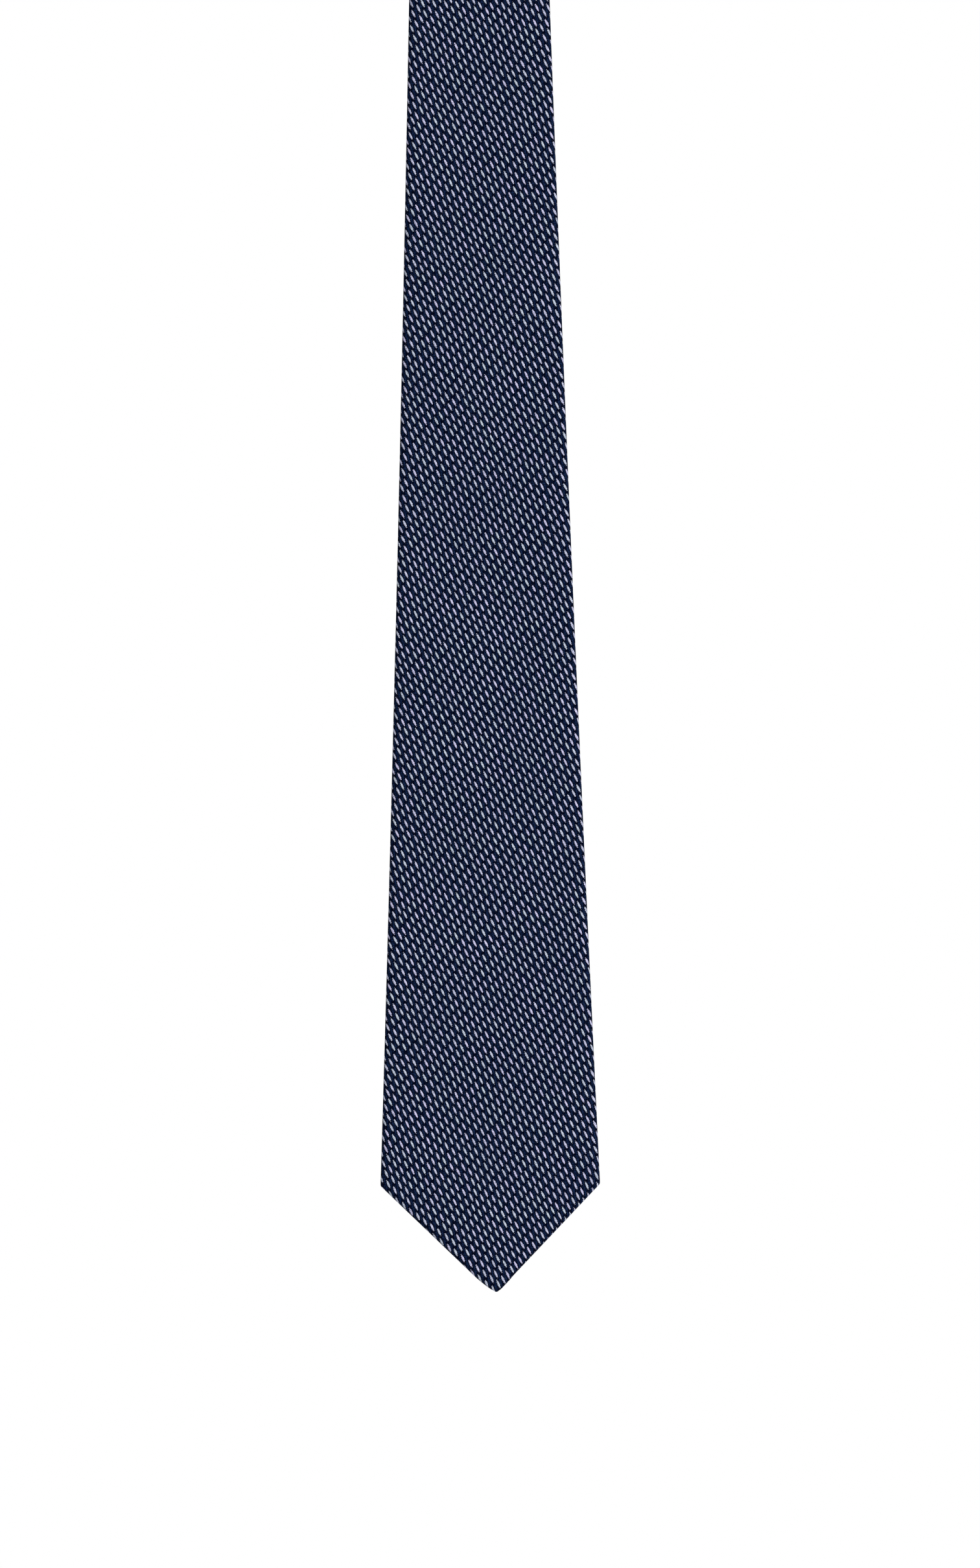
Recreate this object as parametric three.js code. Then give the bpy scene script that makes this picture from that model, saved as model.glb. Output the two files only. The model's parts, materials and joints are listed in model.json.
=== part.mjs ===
// A necktie, untied, hung over a rail with its front blade the lower end, as it is put round a collar.
// Millimetres. +Z is up and the front blade faces -Y. The origin is the middle of the rail that the
// neck lies over. The envelope is a bias-cut cloth folded round a wool interlining: its two flaps
// lap along the middle of the back and part near each tip, where a lining closes the opening.
//
// Every layer is drawn in the tie's own coordinates: s runs along the tie from the front tip to the
// tail tip, x runs across it, and h is the height above the interlining's middle, positive towards
// the face. place() bends them over the rail.

import * as THREE from 'three';

// ---- Driving dimensions ----

const LENGTH = 1480;              // tip to tip, along the tie
const BLADE_WIDTH = 80;           // front blade, at its corners
const BLADE_CORNER = 39.5;        // height of the front blade's corners above its tip
const BLADE_TIP_OFFSET = 1.9;     // the front tip's distance from the middle line
const TAIL_WIDTH = 46;
const TAIL_CORNER = 23;
const NECK_WIDTH = 34;
const BLADE_TAPER_END = 860;      // where the front blade has narrowed to the neck, from its tip
const TAIL_TAPER_END = 480;       // the same, from the tail tip
const TAPER_CURVE = 0.4;          // 0 for a straight taper, up to 1 for a hollow one

const SHELL = 0.5;                // the envelope's cloth
const INTERLINING = 1.7;
const TIPPING = 0.3;              // the lining at each tip
const THREAD = 0.4;               // diameter
const PLY_GAP = 0.15;             // between layers that lie on each other
const EDGE_ROUND = 0.9;           // chamfer that stands for the soft rolled edge
const EDGE_GAP = 0.4;             // between the interlining's edge and the fold of the envelope
const INTERLINING_TIP = 5;        // how far short of each tip the interlining and lining stop

const FRONT_DROP = 860;           // front tip to the rail
const RAIL_RADIUS = 6;
const RAIL_CLEARANCE = 0.5;
const ARC_STEPS = 10;             // facets over the rail
const LONGEST_FACET = 100;        // along the straight parts

const BLADE_HEM = 9;              // the turned edge round the front lining
const BLADE_OPEN = 158;           // where the flaps meet, from the front tip
const TAIL_HEM = 7;
const TAIL_OPEN = 78;
const LAP = 5;                    // how far each flap passes the middle line
const LAP_RUN = 14;               // length over which the flaps come to lap
const FLAP_BEND = 0.5;            // share of a flap's width over which it rises to its full level
const FACE_START = 5;             // the point of the envelope's section where its face starts
const TIP_HALF_WIDTH = 0.8;       // the blunt end of a tip
const TIPPING_MARGIN = 1.3;       // the lining's edge, in from the envelope's edge
const TIPPING_RUN = 14;           // how far the lining runs on under the lapped flaps

const BLADE_SEAM_DROP = 160;      // front blade cloth to neck cloth, below the rail on the middle line
const TAIL_SEAM_DROP = 125;       // neck cloth to tail cloth, the same
const SEAM_SLOPE = 1;             // the seams lie on the grain, at 45 degrees to the tie
const SEAM_GAP = 0.9;             // room for the seam's thread
const GRAIN_PASSES = 8;           // passes that settle a slanted end onto the tapering cloth

const LIFT_DROP = 40;             // the upper bends of both strands, below the rail
const FRONT_FOLD = 300;           // the front blade's lower bend, from its tip
const TAIL_FOLD = 230;            // the tail's lower bend, from its tip
const BEND_GAP = 0.3;             // between the solids on the two sides of a bend
const BEND_CLEARANCE = 0.4;       // the bend's axis, outside the face

const STITCH_PITCH = 10;
const STITCH_SWAY = 1.5;
const TACK_LENGTH = 9;
const TACK_RADIUS = 0.45;
const TRIM_GAP = 0.25;            // between the back and what is sewn onto it

const KEEPER_PLACE = 184;         // lower edge, from the front tip
const KEEPER_WIDTH = 12;
const KEEPER_CLOTH = 0.8;
const KEEPER_HALF_SPAN = 26;      // inside the loop
const KEEPER_FOOT = 5;            // the sewn end on each side
const KEEPER_RISE = 6.5;
const KEEPER_SQUARENESS = 6;      // power of the loop's arch
const KEEPER_STEPS = 16;

const LABEL_WIDTH = 48;
const LABEL_HEIGHT = 16;
const LABEL_CLOTH = 0.25;
const LABEL_STITCH_INSET = 1.5;
const CARE_TAG_WIDTH = 22;
const CARE_TAG_LENGTH = 28;
const CARE_TAG_DROP = 1.3;        // from the label's lower edge to the tag's sewn edge
const CARE_TAG_CLEARANCE = 11;    // from the tag's lower edge to the keeper loop

// ---- Levels of the layers, worked out from their thicknesses ----

const INTERLINING_FACE = INTERLINING / 2;
const FACE_INSIDE = INTERLINING_FACE + PLY_GAP;
const FACE = FACE_INSIDE + SHELL;
const TIPPING_TOP = -INTERLINING_FACE - PLY_GAP;
const TIPPING_BACK = TIPPING_TOP - TIPPING;
const INNER_FLAP = TIPPING_BACK - PLY_GAP - SHELL;
const THREAD_LEVEL = INNER_FLAP - PLY_GAP - THREAD / 2;
const OUTER_FLAP = THREAD_LEVEL - THREAD / 2 - PLY_GAP - SHELL;
const SIDE = (INNER_FLAP + OUTER_FLAP) / 2;
const BACK = -OUTER_FLAP;
const TRIM_LEVEL = OUTER_FLAP - TRIM_GAP;

const PATH_RADIUS = RAIL_RADIUS + RAIL_CLEARANCE + BACK;
const ARC_LENGTH = Math.PI * PATH_RADIUS;
const TAIL_START = FRONT_DROP + ARC_LENGTH;
const FRONT_LIFT = FRONT_DROP - LIFT_DROP;
const TAIL_LIFT = TAIL_START + LIFT_DROP;
const TAIL_BEND = LENGTH - TAIL_FOLD;
const BLADE_SEAM = FRONT_DROP - BLADE_SEAM_DROP;
const TAIL_SEAM = TAIL_START + TAIL_SEAM_DROP;
const CARE_TAG_TOP = KEEPER_PLACE + KEEPER_WIDTH + CARE_TAG_CLEARANCE + CARE_TAG_LENGTH;
const LABEL_PLACE = CARE_TAG_TOP + CARE_TAG_DROP;

const BLADE = {
  length: BLADE_TAPER_END, width: BLADE_WIDTH, corner: BLADE_CORNER,
  offset: BLADE_TIP_OFFSET, hem: BLADE_HEM, open: BLADE_OPEN,
};
const TAIL = {
  length: TAIL_TAPER_END, width: TAIL_WIDTH, corner: TAIL_CORNER,
  offset: 0, hem: TAIL_HEM, open: TAIL_OPEN,
};

// ---- The tie's shape ----

function place(s, x, h) {
  if (s <= FRONT_DROP) return new THREE.Vector3(x, -PATH_RADIUS - h, s - FRONT_DROP);
  if (s >= TAIL_START) return new THREE.Vector3(x, PATH_RADIUS + h, TAIL_START - s);
  const turn = (s - FRONT_DROP) / PATH_RADIUS;
  const radius = PATH_RADIUS + h;
  return new THREE.Vector3(x, -radius * Math.cos(turn), radius * Math.sin(turn));
}

// The nearer tip's sizes and the distance from it.
function endOf(s) {
  return s < LENGTH / 2 ? { end: BLADE, d: s } : { end: TAIL, d: LENGTH - s };
}

// The two long edges at s.
function edges(s) {
  const { end, d } = endOf(s);
  let half = NECK_WIDTH / 2;
  let middle = 0;
  if (d < end.corner) {
    half = Math.max(TIP_HALF_WIDTH, (end.width / 2) * (d / end.corner));
    middle = end.offset * (1 - d / end.corner);
  } else if (d < end.length) {
    const left = 1 - (d - end.corner) / (end.length - end.corner);
    const share = TAPER_CURVE * left * left + (1 - TAPER_CURVE) * left;
    half += share * (end.width - NECK_WIDTH) / 2;
  }
  return { left: middle - half, right: middle + half, middle, half };
}

// The free edges of the two flaps at s, and how far they have parted in height to lap, 0 to 1.
function flaps(s) {
  const { end, d } = endOf(s);
  const { middle, half } = edges(s);
  const lift = THREE.MathUtils.smoothstep(d, end.open - LAP_RUN, end.open);
  if (d >= end.open) {
    const lap = LAP * THREE.MathUtils.smoothstep(d, end.open, end.open + LAP_RUN);
    return { outer: lap, inner: -lap, lift };
  }
  let gap = half - end.hem;
  if (d > end.corner) {
    gap = (end.width / 2 - end.hem) * (1 - (d - end.corner) / (end.open - end.corner));
  }
  gap = Math.max(gap, TIP_HALF_WIDTH / 5);
  return { outer: middle - gap, inner: middle + gap, lift };
}

// The envelope's section at s: outside and inside points from the outer flap's free edge, round the
// face, to the inner flap's free edge.
function envelopeSection(s) {
  const { left, right, half } = edges(s);
  const { outer, inner, lift } = flaps(s);
  const round = Math.min(EDGE_ROUND, half * 0.35);
  const cloth = Math.min(SHELL, half * 0.45);
  const inRound = Math.min(round * 0.6, (half - cloth) * 0.4);
  const outerLevel = THREE.MathUtils.lerp(SIDE, OUTER_FLAP, lift);
  const innerLevel = THREE.MathUtils.lerp(SIDE, INNER_FLAP, lift);
  const inLeft = left + cloth;
  const inRight = right - cloth;
  const outerBend = THREE.MathUtils.lerp(inLeft + inRound, outer, FLAP_BEND);
  const innerBend = THREE.MathUtils.lerp(inRight - inRound, inner, FLAP_BEND);
  const outside = [
    [outer, outerLevel], [outerBend, outerLevel], [left + round, SIDE], [left, SIDE + round],
    [left, FACE - round], [left + round, FACE], [right - round, FACE], [right, FACE - round],
    [right, SIDE + round], [right - round, SIDE], [innerBend, innerLevel], [inner, innerLevel],
  ];
  const inside = [
    [outer, outerLevel + SHELL], [outerBend, outerLevel + SHELL],
    [inLeft + inRound, SIDE + SHELL], [inLeft, SIDE + SHELL + inRound],
    [inLeft, FACE_INSIDE - inRound], [inLeft + inRound, FACE_INSIDE],
    [inRight - inRound, FACE_INSIDE], [inRight, FACE_INSIDE - inRound],
    [inRight, SIDE + SHELL + inRound], [inRight - inRound, SIDE + SHELL],
    [innerBend, innerLevel + SHELL], [inner, innerLevel + SHELL],
  ];
  return [...outside, ...inside.reverse()];
}

// How far along the unfolded cloth each point of the section lies from the middle of the face.
function unfolded(section) {
  const count = section.length / 2;
  const along = [0];
  for (let i = 1; i < count; i++) {
    const [x, h] = section[i];
    const [px, ph] = section[i - 1];
    along.push(along[i - 1] + Math.hypot(x - px, h - ph));
  }
  const middle = along[FACE_START] - section[FACE_START][0];
  const out = along.map((value) => value - middle);
  return [...out, ...[...out].reverse()];
}

// ---- Solids ----

// A closed solid through rings of equal length. Each ring is a list of points, and flat gives the
// ring's outline in two dimensions, for its caps.
function loft(rings, firstFlat, lastFlat) {
  const count = rings[0].length;
  const points = rings.flat();
  const faces = [];
  for (let r = 0; r + 1 < rings.length; r++) {
    for (let i = 0; i < count; i++) {
      const a = r * count + i;
      const b = r * count + ((i + 1) % count);
      faces.push([a, b, a + count], [b, b + count, a + count]);
    }
  }
  const cap = (flat, base, turned) => {
    const outline = flat.map(([x, h]) => new THREE.Vector2(x, h));
    for (const [a, b, c] of THREE.ShapeUtils.triangulateShape(outline, [])) {
      faces.push(turned ? [base + a, base + c, base + b] : [base + a, base + b, base + c]);
    }
  };
  const clockwise = THREE.ShapeUtils.area(firstFlat.map(([x, h]) => new THREE.Vector2(x, h))) < 0;
  cap(firstFlat, 0, !clockwise);
  cap(lastFlat, points.length - count, clockwise);
  const geometry = new THREE.BufferGeometry().setFromPoints(points);
  geometry.setIndex(faces.flat());
  return facingOut(geometry);
}

// Turns the faces round if they point inwards.
function facingOut(geometry) {
  const p = geometry.getAttribute('position');
  const index = geometry.getIndex();
  const corner = (i) => new THREE.Vector3().fromBufferAttribute(p, index.getX(i));
  let volume = 0;
  for (let i = 0; i < index.count; i += 3) {
    volume += corner(i).dot(corner(i + 1).cross(corner(i + 2)));
  }
  if (volume < 0) geometry.setIndex([...index.array].reverse());
  geometry.computeVertexNormals();
  return geometry;
}

// A solid whose section at each station is section(s).
function along(stations, section) {
  const rings = stations.map((s) => section(s).map(([x, h]) => place(s, x, h)));
  return loft(rings, section(stations[0]), section(stations.at(-1)));
}

// The envelope from one station to the last. A slanted end follows the grain through its station.
function envelope(stations, slantedStart = false, slantedEnd = false) {
  const rings = stations.map((s, i) => {
    const section = envelopeSection(s);
    const slanted = (i === 0 && slantedStart) || (i === stations.length - 1 && slantedEnd);
    if (!slanted) return section.map(([x, h]) => place(s, x, h));
    return section.map((_, j) => {
      let there = s;
      for (let pass = 0; pass < GRAIN_PASSES; pass++) {
        there = s + SEAM_SLOPE * unfolded(envelopeSection(there))[j];
      }
      const [x, h] = envelopeSection(there)[j];
      return place(there, x, h);
    });
  });
  return loft(rings, envelopeSection(stations[0]), envelopeSection(stations.at(-1)));
}

function slab(stations, margin, low, high) {
  return along(stations, (s) => {
    const { left, right } = edges(s);
    return [[left + margin, low], [right - margin, low], [right - margin, high], [left + margin, high]];
  });
}

// A thread whose middle at s is centre(s).
function thread(stations, centre) {
  const sides = 6;
  return along(stations, (s) => {
    const [x, h] = centre(s);
    return Array.from({ length: sides }, (_, i) => {
      const turn = (i / sides) * 2 * Math.PI;
      return [x + (THREAD / 2) * Math.cos(turn), h + (THREAD / 2) * Math.sin(turn)];
    });
  });
}

// ---- Stations ----

const mirrored = (list) => list.map((d) => LENGTH - d).reverse();
const between = (list, from, to) => [from, ...list.filter((s) => s > from + 1 && s < to - 1), to];

function tipStations(end) {
  const lap = end.open + LAP_RUN;
  return [
    0, end.corner * 0.08, end.corner * 0.25, end.corner * 0.6, end.corner,
    end.corner + (end.open - LAP_RUN - end.corner) * 0.5, end.open - LAP_RUN,
    end.open - LAP_RUN / 2, end.open, end.open + LAP_RUN / 2, lap,
  ];
}

const arcStations = Array.from(
  { length: ARC_STEPS + 1 },
  (_, i) => FRONT_DROP + (ARC_LENGTH * i) / ARC_STEPS,
);
const evenly = (from, to) => {
  const count = Math.ceil((to - from) / LONGEST_FACET);
  return Array.from({ length: count }, (_, i) => from + ((to - from) * i) / count);
};
const STATIONS = [
  ...tipStations(BLADE), ...evenly(BLADE_OPEN + LAP_RUN, FRONT_DROP), ...arcStations,
  LENGTH - TAIL_TAPER_END, ...evenly(TAIL_START, LENGTH - TAIL_OPEN - LAP_RUN),
  ...mirrored(tipStations(TAIL)),
].sort((a, b) => a - b).filter((s, i, all) => i === 0 || s - all[i - 1] > 0.5);

const HALF_BEND = BEND_GAP / 2;
const HALF_SEAM = SEAM_GAP / 2;

// ---- Materials ----

const cloth = (color, roughness) => new THREE.MeshStandardMaterial({ color, roughness, metalness: 0 });
const silk = cloth(0x2a3658, 0.55);
const wool = cloth(0xe4ddcc, 0.95);
const lining = cloth(0x18213d, 0.4);
const sewing = cloth(0x202c50, 0.6);
const ribbon = cloth(0x1b2544, 0.45);
const satin = cloth(0xd9dbe2, 0.45);

function mesh(name, geometry, material) {
  const made = new THREE.Mesh(geometry, material);
  made.name = name;
  return made;
}

// ---- The bodies that bend, each a group standing on the axis that it turns about ----

function bendAt(parent, s, level) {
  const group = new THREE.Group();
  group.position.copy(place(s, 0, level));
  tie.add(group);
  tie.updateMatrixWorld(true);
  if (parent !== tie) parent.attach(group);
  return group;
}

function hold(group, ...meshes) {
  tie.updateMatrixWorld(true);
  for (const made of meshes) {
    made.updateMatrixWorld(true);
    group.attach(made);
  }
}

const tie = new THREE.Group();
const faceAxis = FACE + BEND_CLEARANCE;
const frontUpper = bendAt(tie, FRONT_LIFT, faceAxis);
const frontLower = bendAt(frontUpper, FRONT_FOLD, faceAxis);
const tailUpper = bendAt(tie, TAIL_LIFT, faceAxis);
const tailLower = bendAt(tailUpper, TAIL_BEND, faceAxis);

// ---- Envelope ----

const spans = {
  frontLower: [0, FRONT_FOLD - HALF_BEND],
  frontUpper: [FRONT_FOLD + HALF_BEND, FRONT_LIFT - HALF_BEND],
  neck: [FRONT_LIFT + HALF_BEND, TAIL_LIFT - HALF_BEND],
  tailUpper: [TAIL_LIFT + HALF_BEND, TAIL_BEND - HALF_BEND],
  tailLower: [TAIL_BEND + HALF_BEND, LENGTH],
};
// How far a slanted seam reaches up and down the tie, with room to spare.
const SEAM_REACH = SEAM_SLOPE * (BLADE_WIDTH / 2 + NECK_WIDTH / 2);

function upToSeam([start], seam) {
  const list = STATIONS.filter((s) => s > start + 1 && s < seam - SEAM_REACH);
  return [start, ...list, seam - HALF_SEAM];
}

function fromSeam([, end], seam) {
  const list = STATIONS.filter((s) => s > seam + SEAM_REACH && s < end - 1);
  return [seam + HALF_SEAM, ...list, end];
}

hold(
  frontLower,
  mesh('front_blade_shell_lower', envelope(between(STATIONS, ...spans.frontLower)), silk),
);
hold(
  frontUpper,
  mesh('front_blade_shell_upper', envelope(upToSeam(spans.frontUpper, BLADE_SEAM), false, true), silk),
  mesh('neck_shell_front', envelope(fromSeam(spans.frontUpper, BLADE_SEAM), true, false), silk),
);
hold(tie, mesh('neck_shell_saddle', envelope(between(STATIONS, ...spans.neck)), silk));
hold(
  tailUpper,
  mesh('neck_shell_tail', envelope(upToSeam(spans.tailUpper, TAIL_SEAM), false, true), silk),
  mesh('tail_shell_upper', envelope(fromSeam(spans.tailUpper, TAIL_SEAM), true, false), silk),
);
hold(tailLower, mesh('tail_shell_lower', envelope(between(STATIONS, ...spans.tailLower)), silk));

// ---- Interlining ----

function interlining(span) {
  const low = Math.max(span[0], INTERLINING_TIP);
  const high = Math.min(span[1], LENGTH - INTERLINING_TIP);
  return slab(between(STATIONS, low, high), SHELL + EDGE_GAP, -INTERLINING_FACE, INTERLINING_FACE);
}

hold(frontLower, mesh('front_interlining_lower', interlining(spans.frontLower), wool));
hold(frontUpper, mesh('front_interlining_upper', interlining(spans.frontUpper), wool));
hold(tie, mesh('neck_interlining', interlining(spans.neck), wool));
hold(tailUpper, mesh('tail_interlining_upper', interlining(spans.tailUpper), wool));
hold(tailLower, mesh('tail_interlining_lower', interlining(spans.tailLower), wool));

// ---- Linings at the tips, and the seams that join them to the turned hems ----

function tipping(end, turn) {
  const top = end.open + TIPPING_RUN;
  const list = between(tipStations(end), INTERLINING_TIP, top);
  return slab(turn(list), TIPPING_MARGIN, TIPPING_BACK, TIPPING_TOP);
}

const HEM_THREAD_LEVEL = (TIPPING_BACK + SIDE + SHELL) / 2;

function hemThread(end, side, turn) {
  const list = [end.corner * 0.3, end.corner * 0.6, end.corner * 0.95];
  const inset = Math.min(end.hem, end.corner * 0.2) * 0.8;
  return thread(turn(list), (s) => {
    const { left, right } = edges(s);
    return [side < 0 ? left + inset : right - inset, HEM_THREAD_LEVEL];
  });
}

const asIs = (list) => list;
for (const [name, body, end, turn] of [
  ['front', frontLower, BLADE, asIs],
  ['tail', tailLower, TAIL, mirrored],
]) {
  hold(
    body,
    mesh(`${name}_tipping`, tipping(end, turn), lining),
    mesh(`${name}_hem_thread_left`, hemThread(end, -1, turn), sewing),
    mesh(`${name}_hem_thread_right`, hemThread(end, 1, turn), sewing),
  );
}

// ---- Threads of the middle back seam and of the two cloth seams ----

// The stitches sway from side to side along the whole tie.
function stitchSway(s) {
  const phase = (s / (2 * STITCH_PITCH)) % 1;
  return STITCH_SWAY * (4 * Math.abs(phase - 0.5) - 1);
}

function slipStitch(span) {
  const low = Math.max(span[0], BLADE_OPEN + LAP_RUN);
  const high = Math.min(span[1], LENGTH - TAIL_OPEN - LAP_RUN);
  const turns = Array.from({ length: Math.ceil(LENGTH / STITCH_PITCH) }, (_, i) => i * STITCH_PITCH);
  const list = [...turns, ...arcStations].sort((a, b) => a - b);
  return thread(between(list, low, high), (s) => [stitchSway(s), THREAD_LEVEL]);
}

hold(frontLower, mesh('front_slip_stitch_lower', slipStitch(spans.frontLower), sewing));
hold(frontUpper, mesh('front_slip_stitch_upper', slipStitch(spans.frontUpper), sewing));
hold(tie, mesh('neck_slip_stitch', slipStitch(spans.neck), sewing));
hold(tailUpper, mesh('tail_slip_stitch_upper', slipStitch(spans.tailUpper), sewing));
hold(tailLower, mesh('tail_slip_stitch_lower', slipStitch(spans.tailLower), sewing));

// The thread of a cloth seam lies in the seam's gap, across the face.
function seamThread(seam) {
  const reach = edges(seam).half - EDGE_ROUND - 1;
  return thread([seam - reach, seam + reach], (s) => [(s - seam) / SEAM_SLOPE, FACE - SHELL / 2]);
}

hold(frontUpper, mesh('blade_seam_thread', seamThread(BLADE_SEAM), sewing));
hold(tailUpper, mesh('tail_seam_thread', seamThread(TAIL_SEAM), sewing));

// ---- What is sewn onto the back ----

// A short thick bar of thread. Its length runs across the tie, or along it if upright.
function threadBar(name, s, x, level, length, upright) {
  const bar = mesh(name, new THREE.CapsuleGeometry(TACK_RADIUS, length - 2 * TACK_RADIUS, 3, 8), sewing);
  if (!upright) bar.rotation.z = Math.PI / 2;
  else bar.rotation.x = Math.PI / 2;
  bar.position.copy(place(s, x, level - TACK_RADIUS));
  return bar;
}

hold(frontLower, threadBar('front_bar_tack', BLADE_OPEN + 3, 0, TRIM_LEVEL, TACK_LENGTH, false));
hold(tailLower, threadBar('tail_bar_tack', LENGTH - TAIL_OPEN - 3, 0, TRIM_LEVEL, TACK_LENGTH, false));

// The keeper loop: a band of the same cloth with a sewn foot at each side and an arch that the tail
// is put through.
function keeperLoop() {
  const reach = KEEPER_HALF_SPAN + KEEPER_FOOT;
  const rise = (x) => KEEPER_RISE * (1 - Math.min(1, Math.abs(x) / KEEPER_HALF_SPAN) ** KEEPER_SQUARENESS);
  const across = [-reach];
  for (let i = 0; i <= KEEPER_STEPS; i++) {
    across.push(KEEPER_HALF_SPAN * Math.sin((i / KEEPER_STEPS - 0.5) * Math.PI));
  }
  across.push(reach);
  const depth = (level) => -PATH_RADIUS - level;
  const inside = across.map((x) => new THREE.Vector2(x, depth(TRIM_LEVEL - rise(x))));
  const outside = across.map((x) => new THREE.Vector2(x, depth(TRIM_LEVEL - KEEPER_CLOTH - rise(x))));
  const shape = new THREE.Shape([...inside, ...outside.reverse()]);
  const band = mesh(
    'keeper_loop',
    new THREE.ExtrudeGeometry(shape, { depth: KEEPER_WIDTH, bevelEnabled: false }),
    silk,
  );
  band.position.z = KEEPER_PLACE - FRONT_DROP;
  return band;
}

const keeperFoot = KEEPER_HALF_SPAN + KEEPER_FOOT / 2;
const keeperTackLevel = TRIM_LEVEL - KEEPER_CLOTH - TRIM_GAP;
hold(
  frontLower,
  keeperLoop(),
  threadBar(
    'keeper_tack_left', KEEPER_PLACE + KEEPER_WIDTH / 2, -keeperFoot, keeperTackLevel,
    KEEPER_WIDTH * 0.7, true,
  ),
  threadBar(
    'keeper_tack_right', KEEPER_PLACE + KEEPER_WIDTH / 2, keeperFoot, keeperTackLevel,
    KEEPER_WIDTH * 0.7, true,
  ),
);

// A flat piece of ribbon on the front blade's back, from its lower edge up.
function patch(name, s, width, height, material) {
  const made = mesh(name, new THREE.BoxGeometry(width, LABEL_CLOTH, height), material);
  made.position.copy(place(s + height / 2, 0, TRIM_LEVEL - LABEL_CLOTH / 2));
  return made;
}

const labelStitch = LABEL_WIDTH / 2 - LABEL_STITCH_INSET;
const labelStitchLevel = TRIM_LEVEL - LABEL_CLOTH - TRIM_GAP;
hold(
  frontLower,
  patch('label', LABEL_PLACE, LABEL_WIDTH, LABEL_HEIGHT, ribbon),
  threadBar(
    'label_stitch_left', LABEL_PLACE + LABEL_HEIGHT / 2, -labelStitch, labelStitchLevel,
    LABEL_HEIGHT * 0.8, true,
  ),
  threadBar(
    'label_stitch_right', LABEL_PLACE + LABEL_HEIGHT / 2, labelStitch, labelStitchLevel,
    LABEL_HEIGHT * 0.8, true,
  ),
);

const careTag = bendAt(frontLower, CARE_TAG_TOP, TRIM_LEVEL - LABEL_CLOTH);
const careTagFoot = CARE_TAG_TOP - CARE_TAG_LENGTH;
hold(careTag, patch('care_tag', careTagFoot, CARE_TAG_WIDTH, CARE_TAG_LENGTH, satin));

export default tie;
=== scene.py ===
"""A silk necktie hung over a rail: bias-cut jacquard folded round a wool interlining, slip-stitched
down the back, with lined tips, bar tacks, a keeper loop, a blank label and a care tag.

Shapes are worked out in the tie's own coordinates: s runs along the tie from the front tip to the
tail tip, x runs across it, and h is the height above the interlining's middle, positive towards
the face. hang() bends them over the rail. All sizes are in metres.
"""

import json
import math

import bmesh
import bpy
import numpy as np
from bpy.props import FloatProperty, FloatVectorProperty, IntProperty, PointerProperty
from mathutils import Euler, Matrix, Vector


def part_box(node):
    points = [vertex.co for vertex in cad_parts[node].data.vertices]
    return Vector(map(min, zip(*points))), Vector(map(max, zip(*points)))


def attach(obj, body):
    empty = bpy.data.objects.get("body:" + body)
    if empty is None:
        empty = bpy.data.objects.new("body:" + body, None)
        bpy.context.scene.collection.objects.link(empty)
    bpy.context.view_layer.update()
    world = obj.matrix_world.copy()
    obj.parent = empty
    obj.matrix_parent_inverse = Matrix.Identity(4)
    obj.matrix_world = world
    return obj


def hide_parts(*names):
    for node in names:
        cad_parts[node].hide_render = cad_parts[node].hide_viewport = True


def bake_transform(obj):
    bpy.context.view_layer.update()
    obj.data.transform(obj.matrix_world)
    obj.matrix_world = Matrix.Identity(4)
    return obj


bl_info = {
    "name": "Necktie",
    "version": (1, 0, 0),
    "blender": (4, 5, 0),
    "location": "3D View > Sidebar > Necktie",
    "description": "Builds a bias-cut silk necktie, its sewing and its stage",
    "category": "Object",
}

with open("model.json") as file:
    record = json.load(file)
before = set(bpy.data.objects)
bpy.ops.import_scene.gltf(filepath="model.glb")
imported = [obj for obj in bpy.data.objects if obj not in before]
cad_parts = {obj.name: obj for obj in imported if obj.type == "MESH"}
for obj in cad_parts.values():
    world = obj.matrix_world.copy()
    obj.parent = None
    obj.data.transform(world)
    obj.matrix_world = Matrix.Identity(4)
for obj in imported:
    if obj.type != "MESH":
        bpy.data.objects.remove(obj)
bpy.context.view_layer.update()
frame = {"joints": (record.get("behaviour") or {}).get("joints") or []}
MM = 0.001

# ---- Places and sizes that the frame gives ----


def span(node, axis):
    """How far a node's box reaches along an axis."""
    low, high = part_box(node)
    return high[axis] - low[axis]


FACE_Y, BACK_Y = (corner.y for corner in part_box("front_blade_shell_upper"))
RADIUS = -sum(corner.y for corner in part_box("front_interlining_upper")) / 2
FACE = -FACE_Y - RADIUS
BACK = -BACK_Y - RADIUS
FRONT_DROP = -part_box("front_blade_shell_lower")[0].z
TAIL_START = FRONT_DROP + math.pi * RADIUS
LENGTH = TAIL_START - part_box("tail_shell_lower")[0].z
BLADE_WIDTH = span("front_blade_shell_lower", 0)
TAIL_WIDTH = span("tail_shell_lower", 0)
NECK_WIDTH = span("neck_shell_saddle", 0)
WOOL = span("front_interlining_upper", 1)
LINING_LEVEL = -sum(corner.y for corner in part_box("front_tipping")) / 2 - RADIUS
JOINTS = {joint["name"]: joint for joint in frame["joints"]}


def station(z, tail=False):
    """How far along the tie a height is, on one of the two strands."""
    return TAIL_START - z if tail else FRONT_DROP + z


def middle(node, axis):
    """Where the middle of a node's box is along an axis."""
    low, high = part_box(node)
    return (low[axis] + high[axis]) / 2


BLADE_SEAM = station(middle("blade_seam_thread", 2))
TAIL_SEAM = station(middle("tail_seam_thread", 2), tail=True)
FRONT_FOLD = station(JOINTS["front_lower_fold"]["pos_m"][2])
FRONT_LIFT = station(JOINTS["front_upper_fold"]["pos_m"][2])
TAIL_LIFT = station(JOINTS["tail_upper_fold"]["pos_m"][2], tail=True)
TAIL_FOLD = station(JOINTS["tail_lower_fold"]["pos_m"][2], tail=True)
RAIL_TOP = (FRONT_DROP + TAIL_START) / 2

# ---- The pattern that the cloth is cut and sewn to ----

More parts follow.
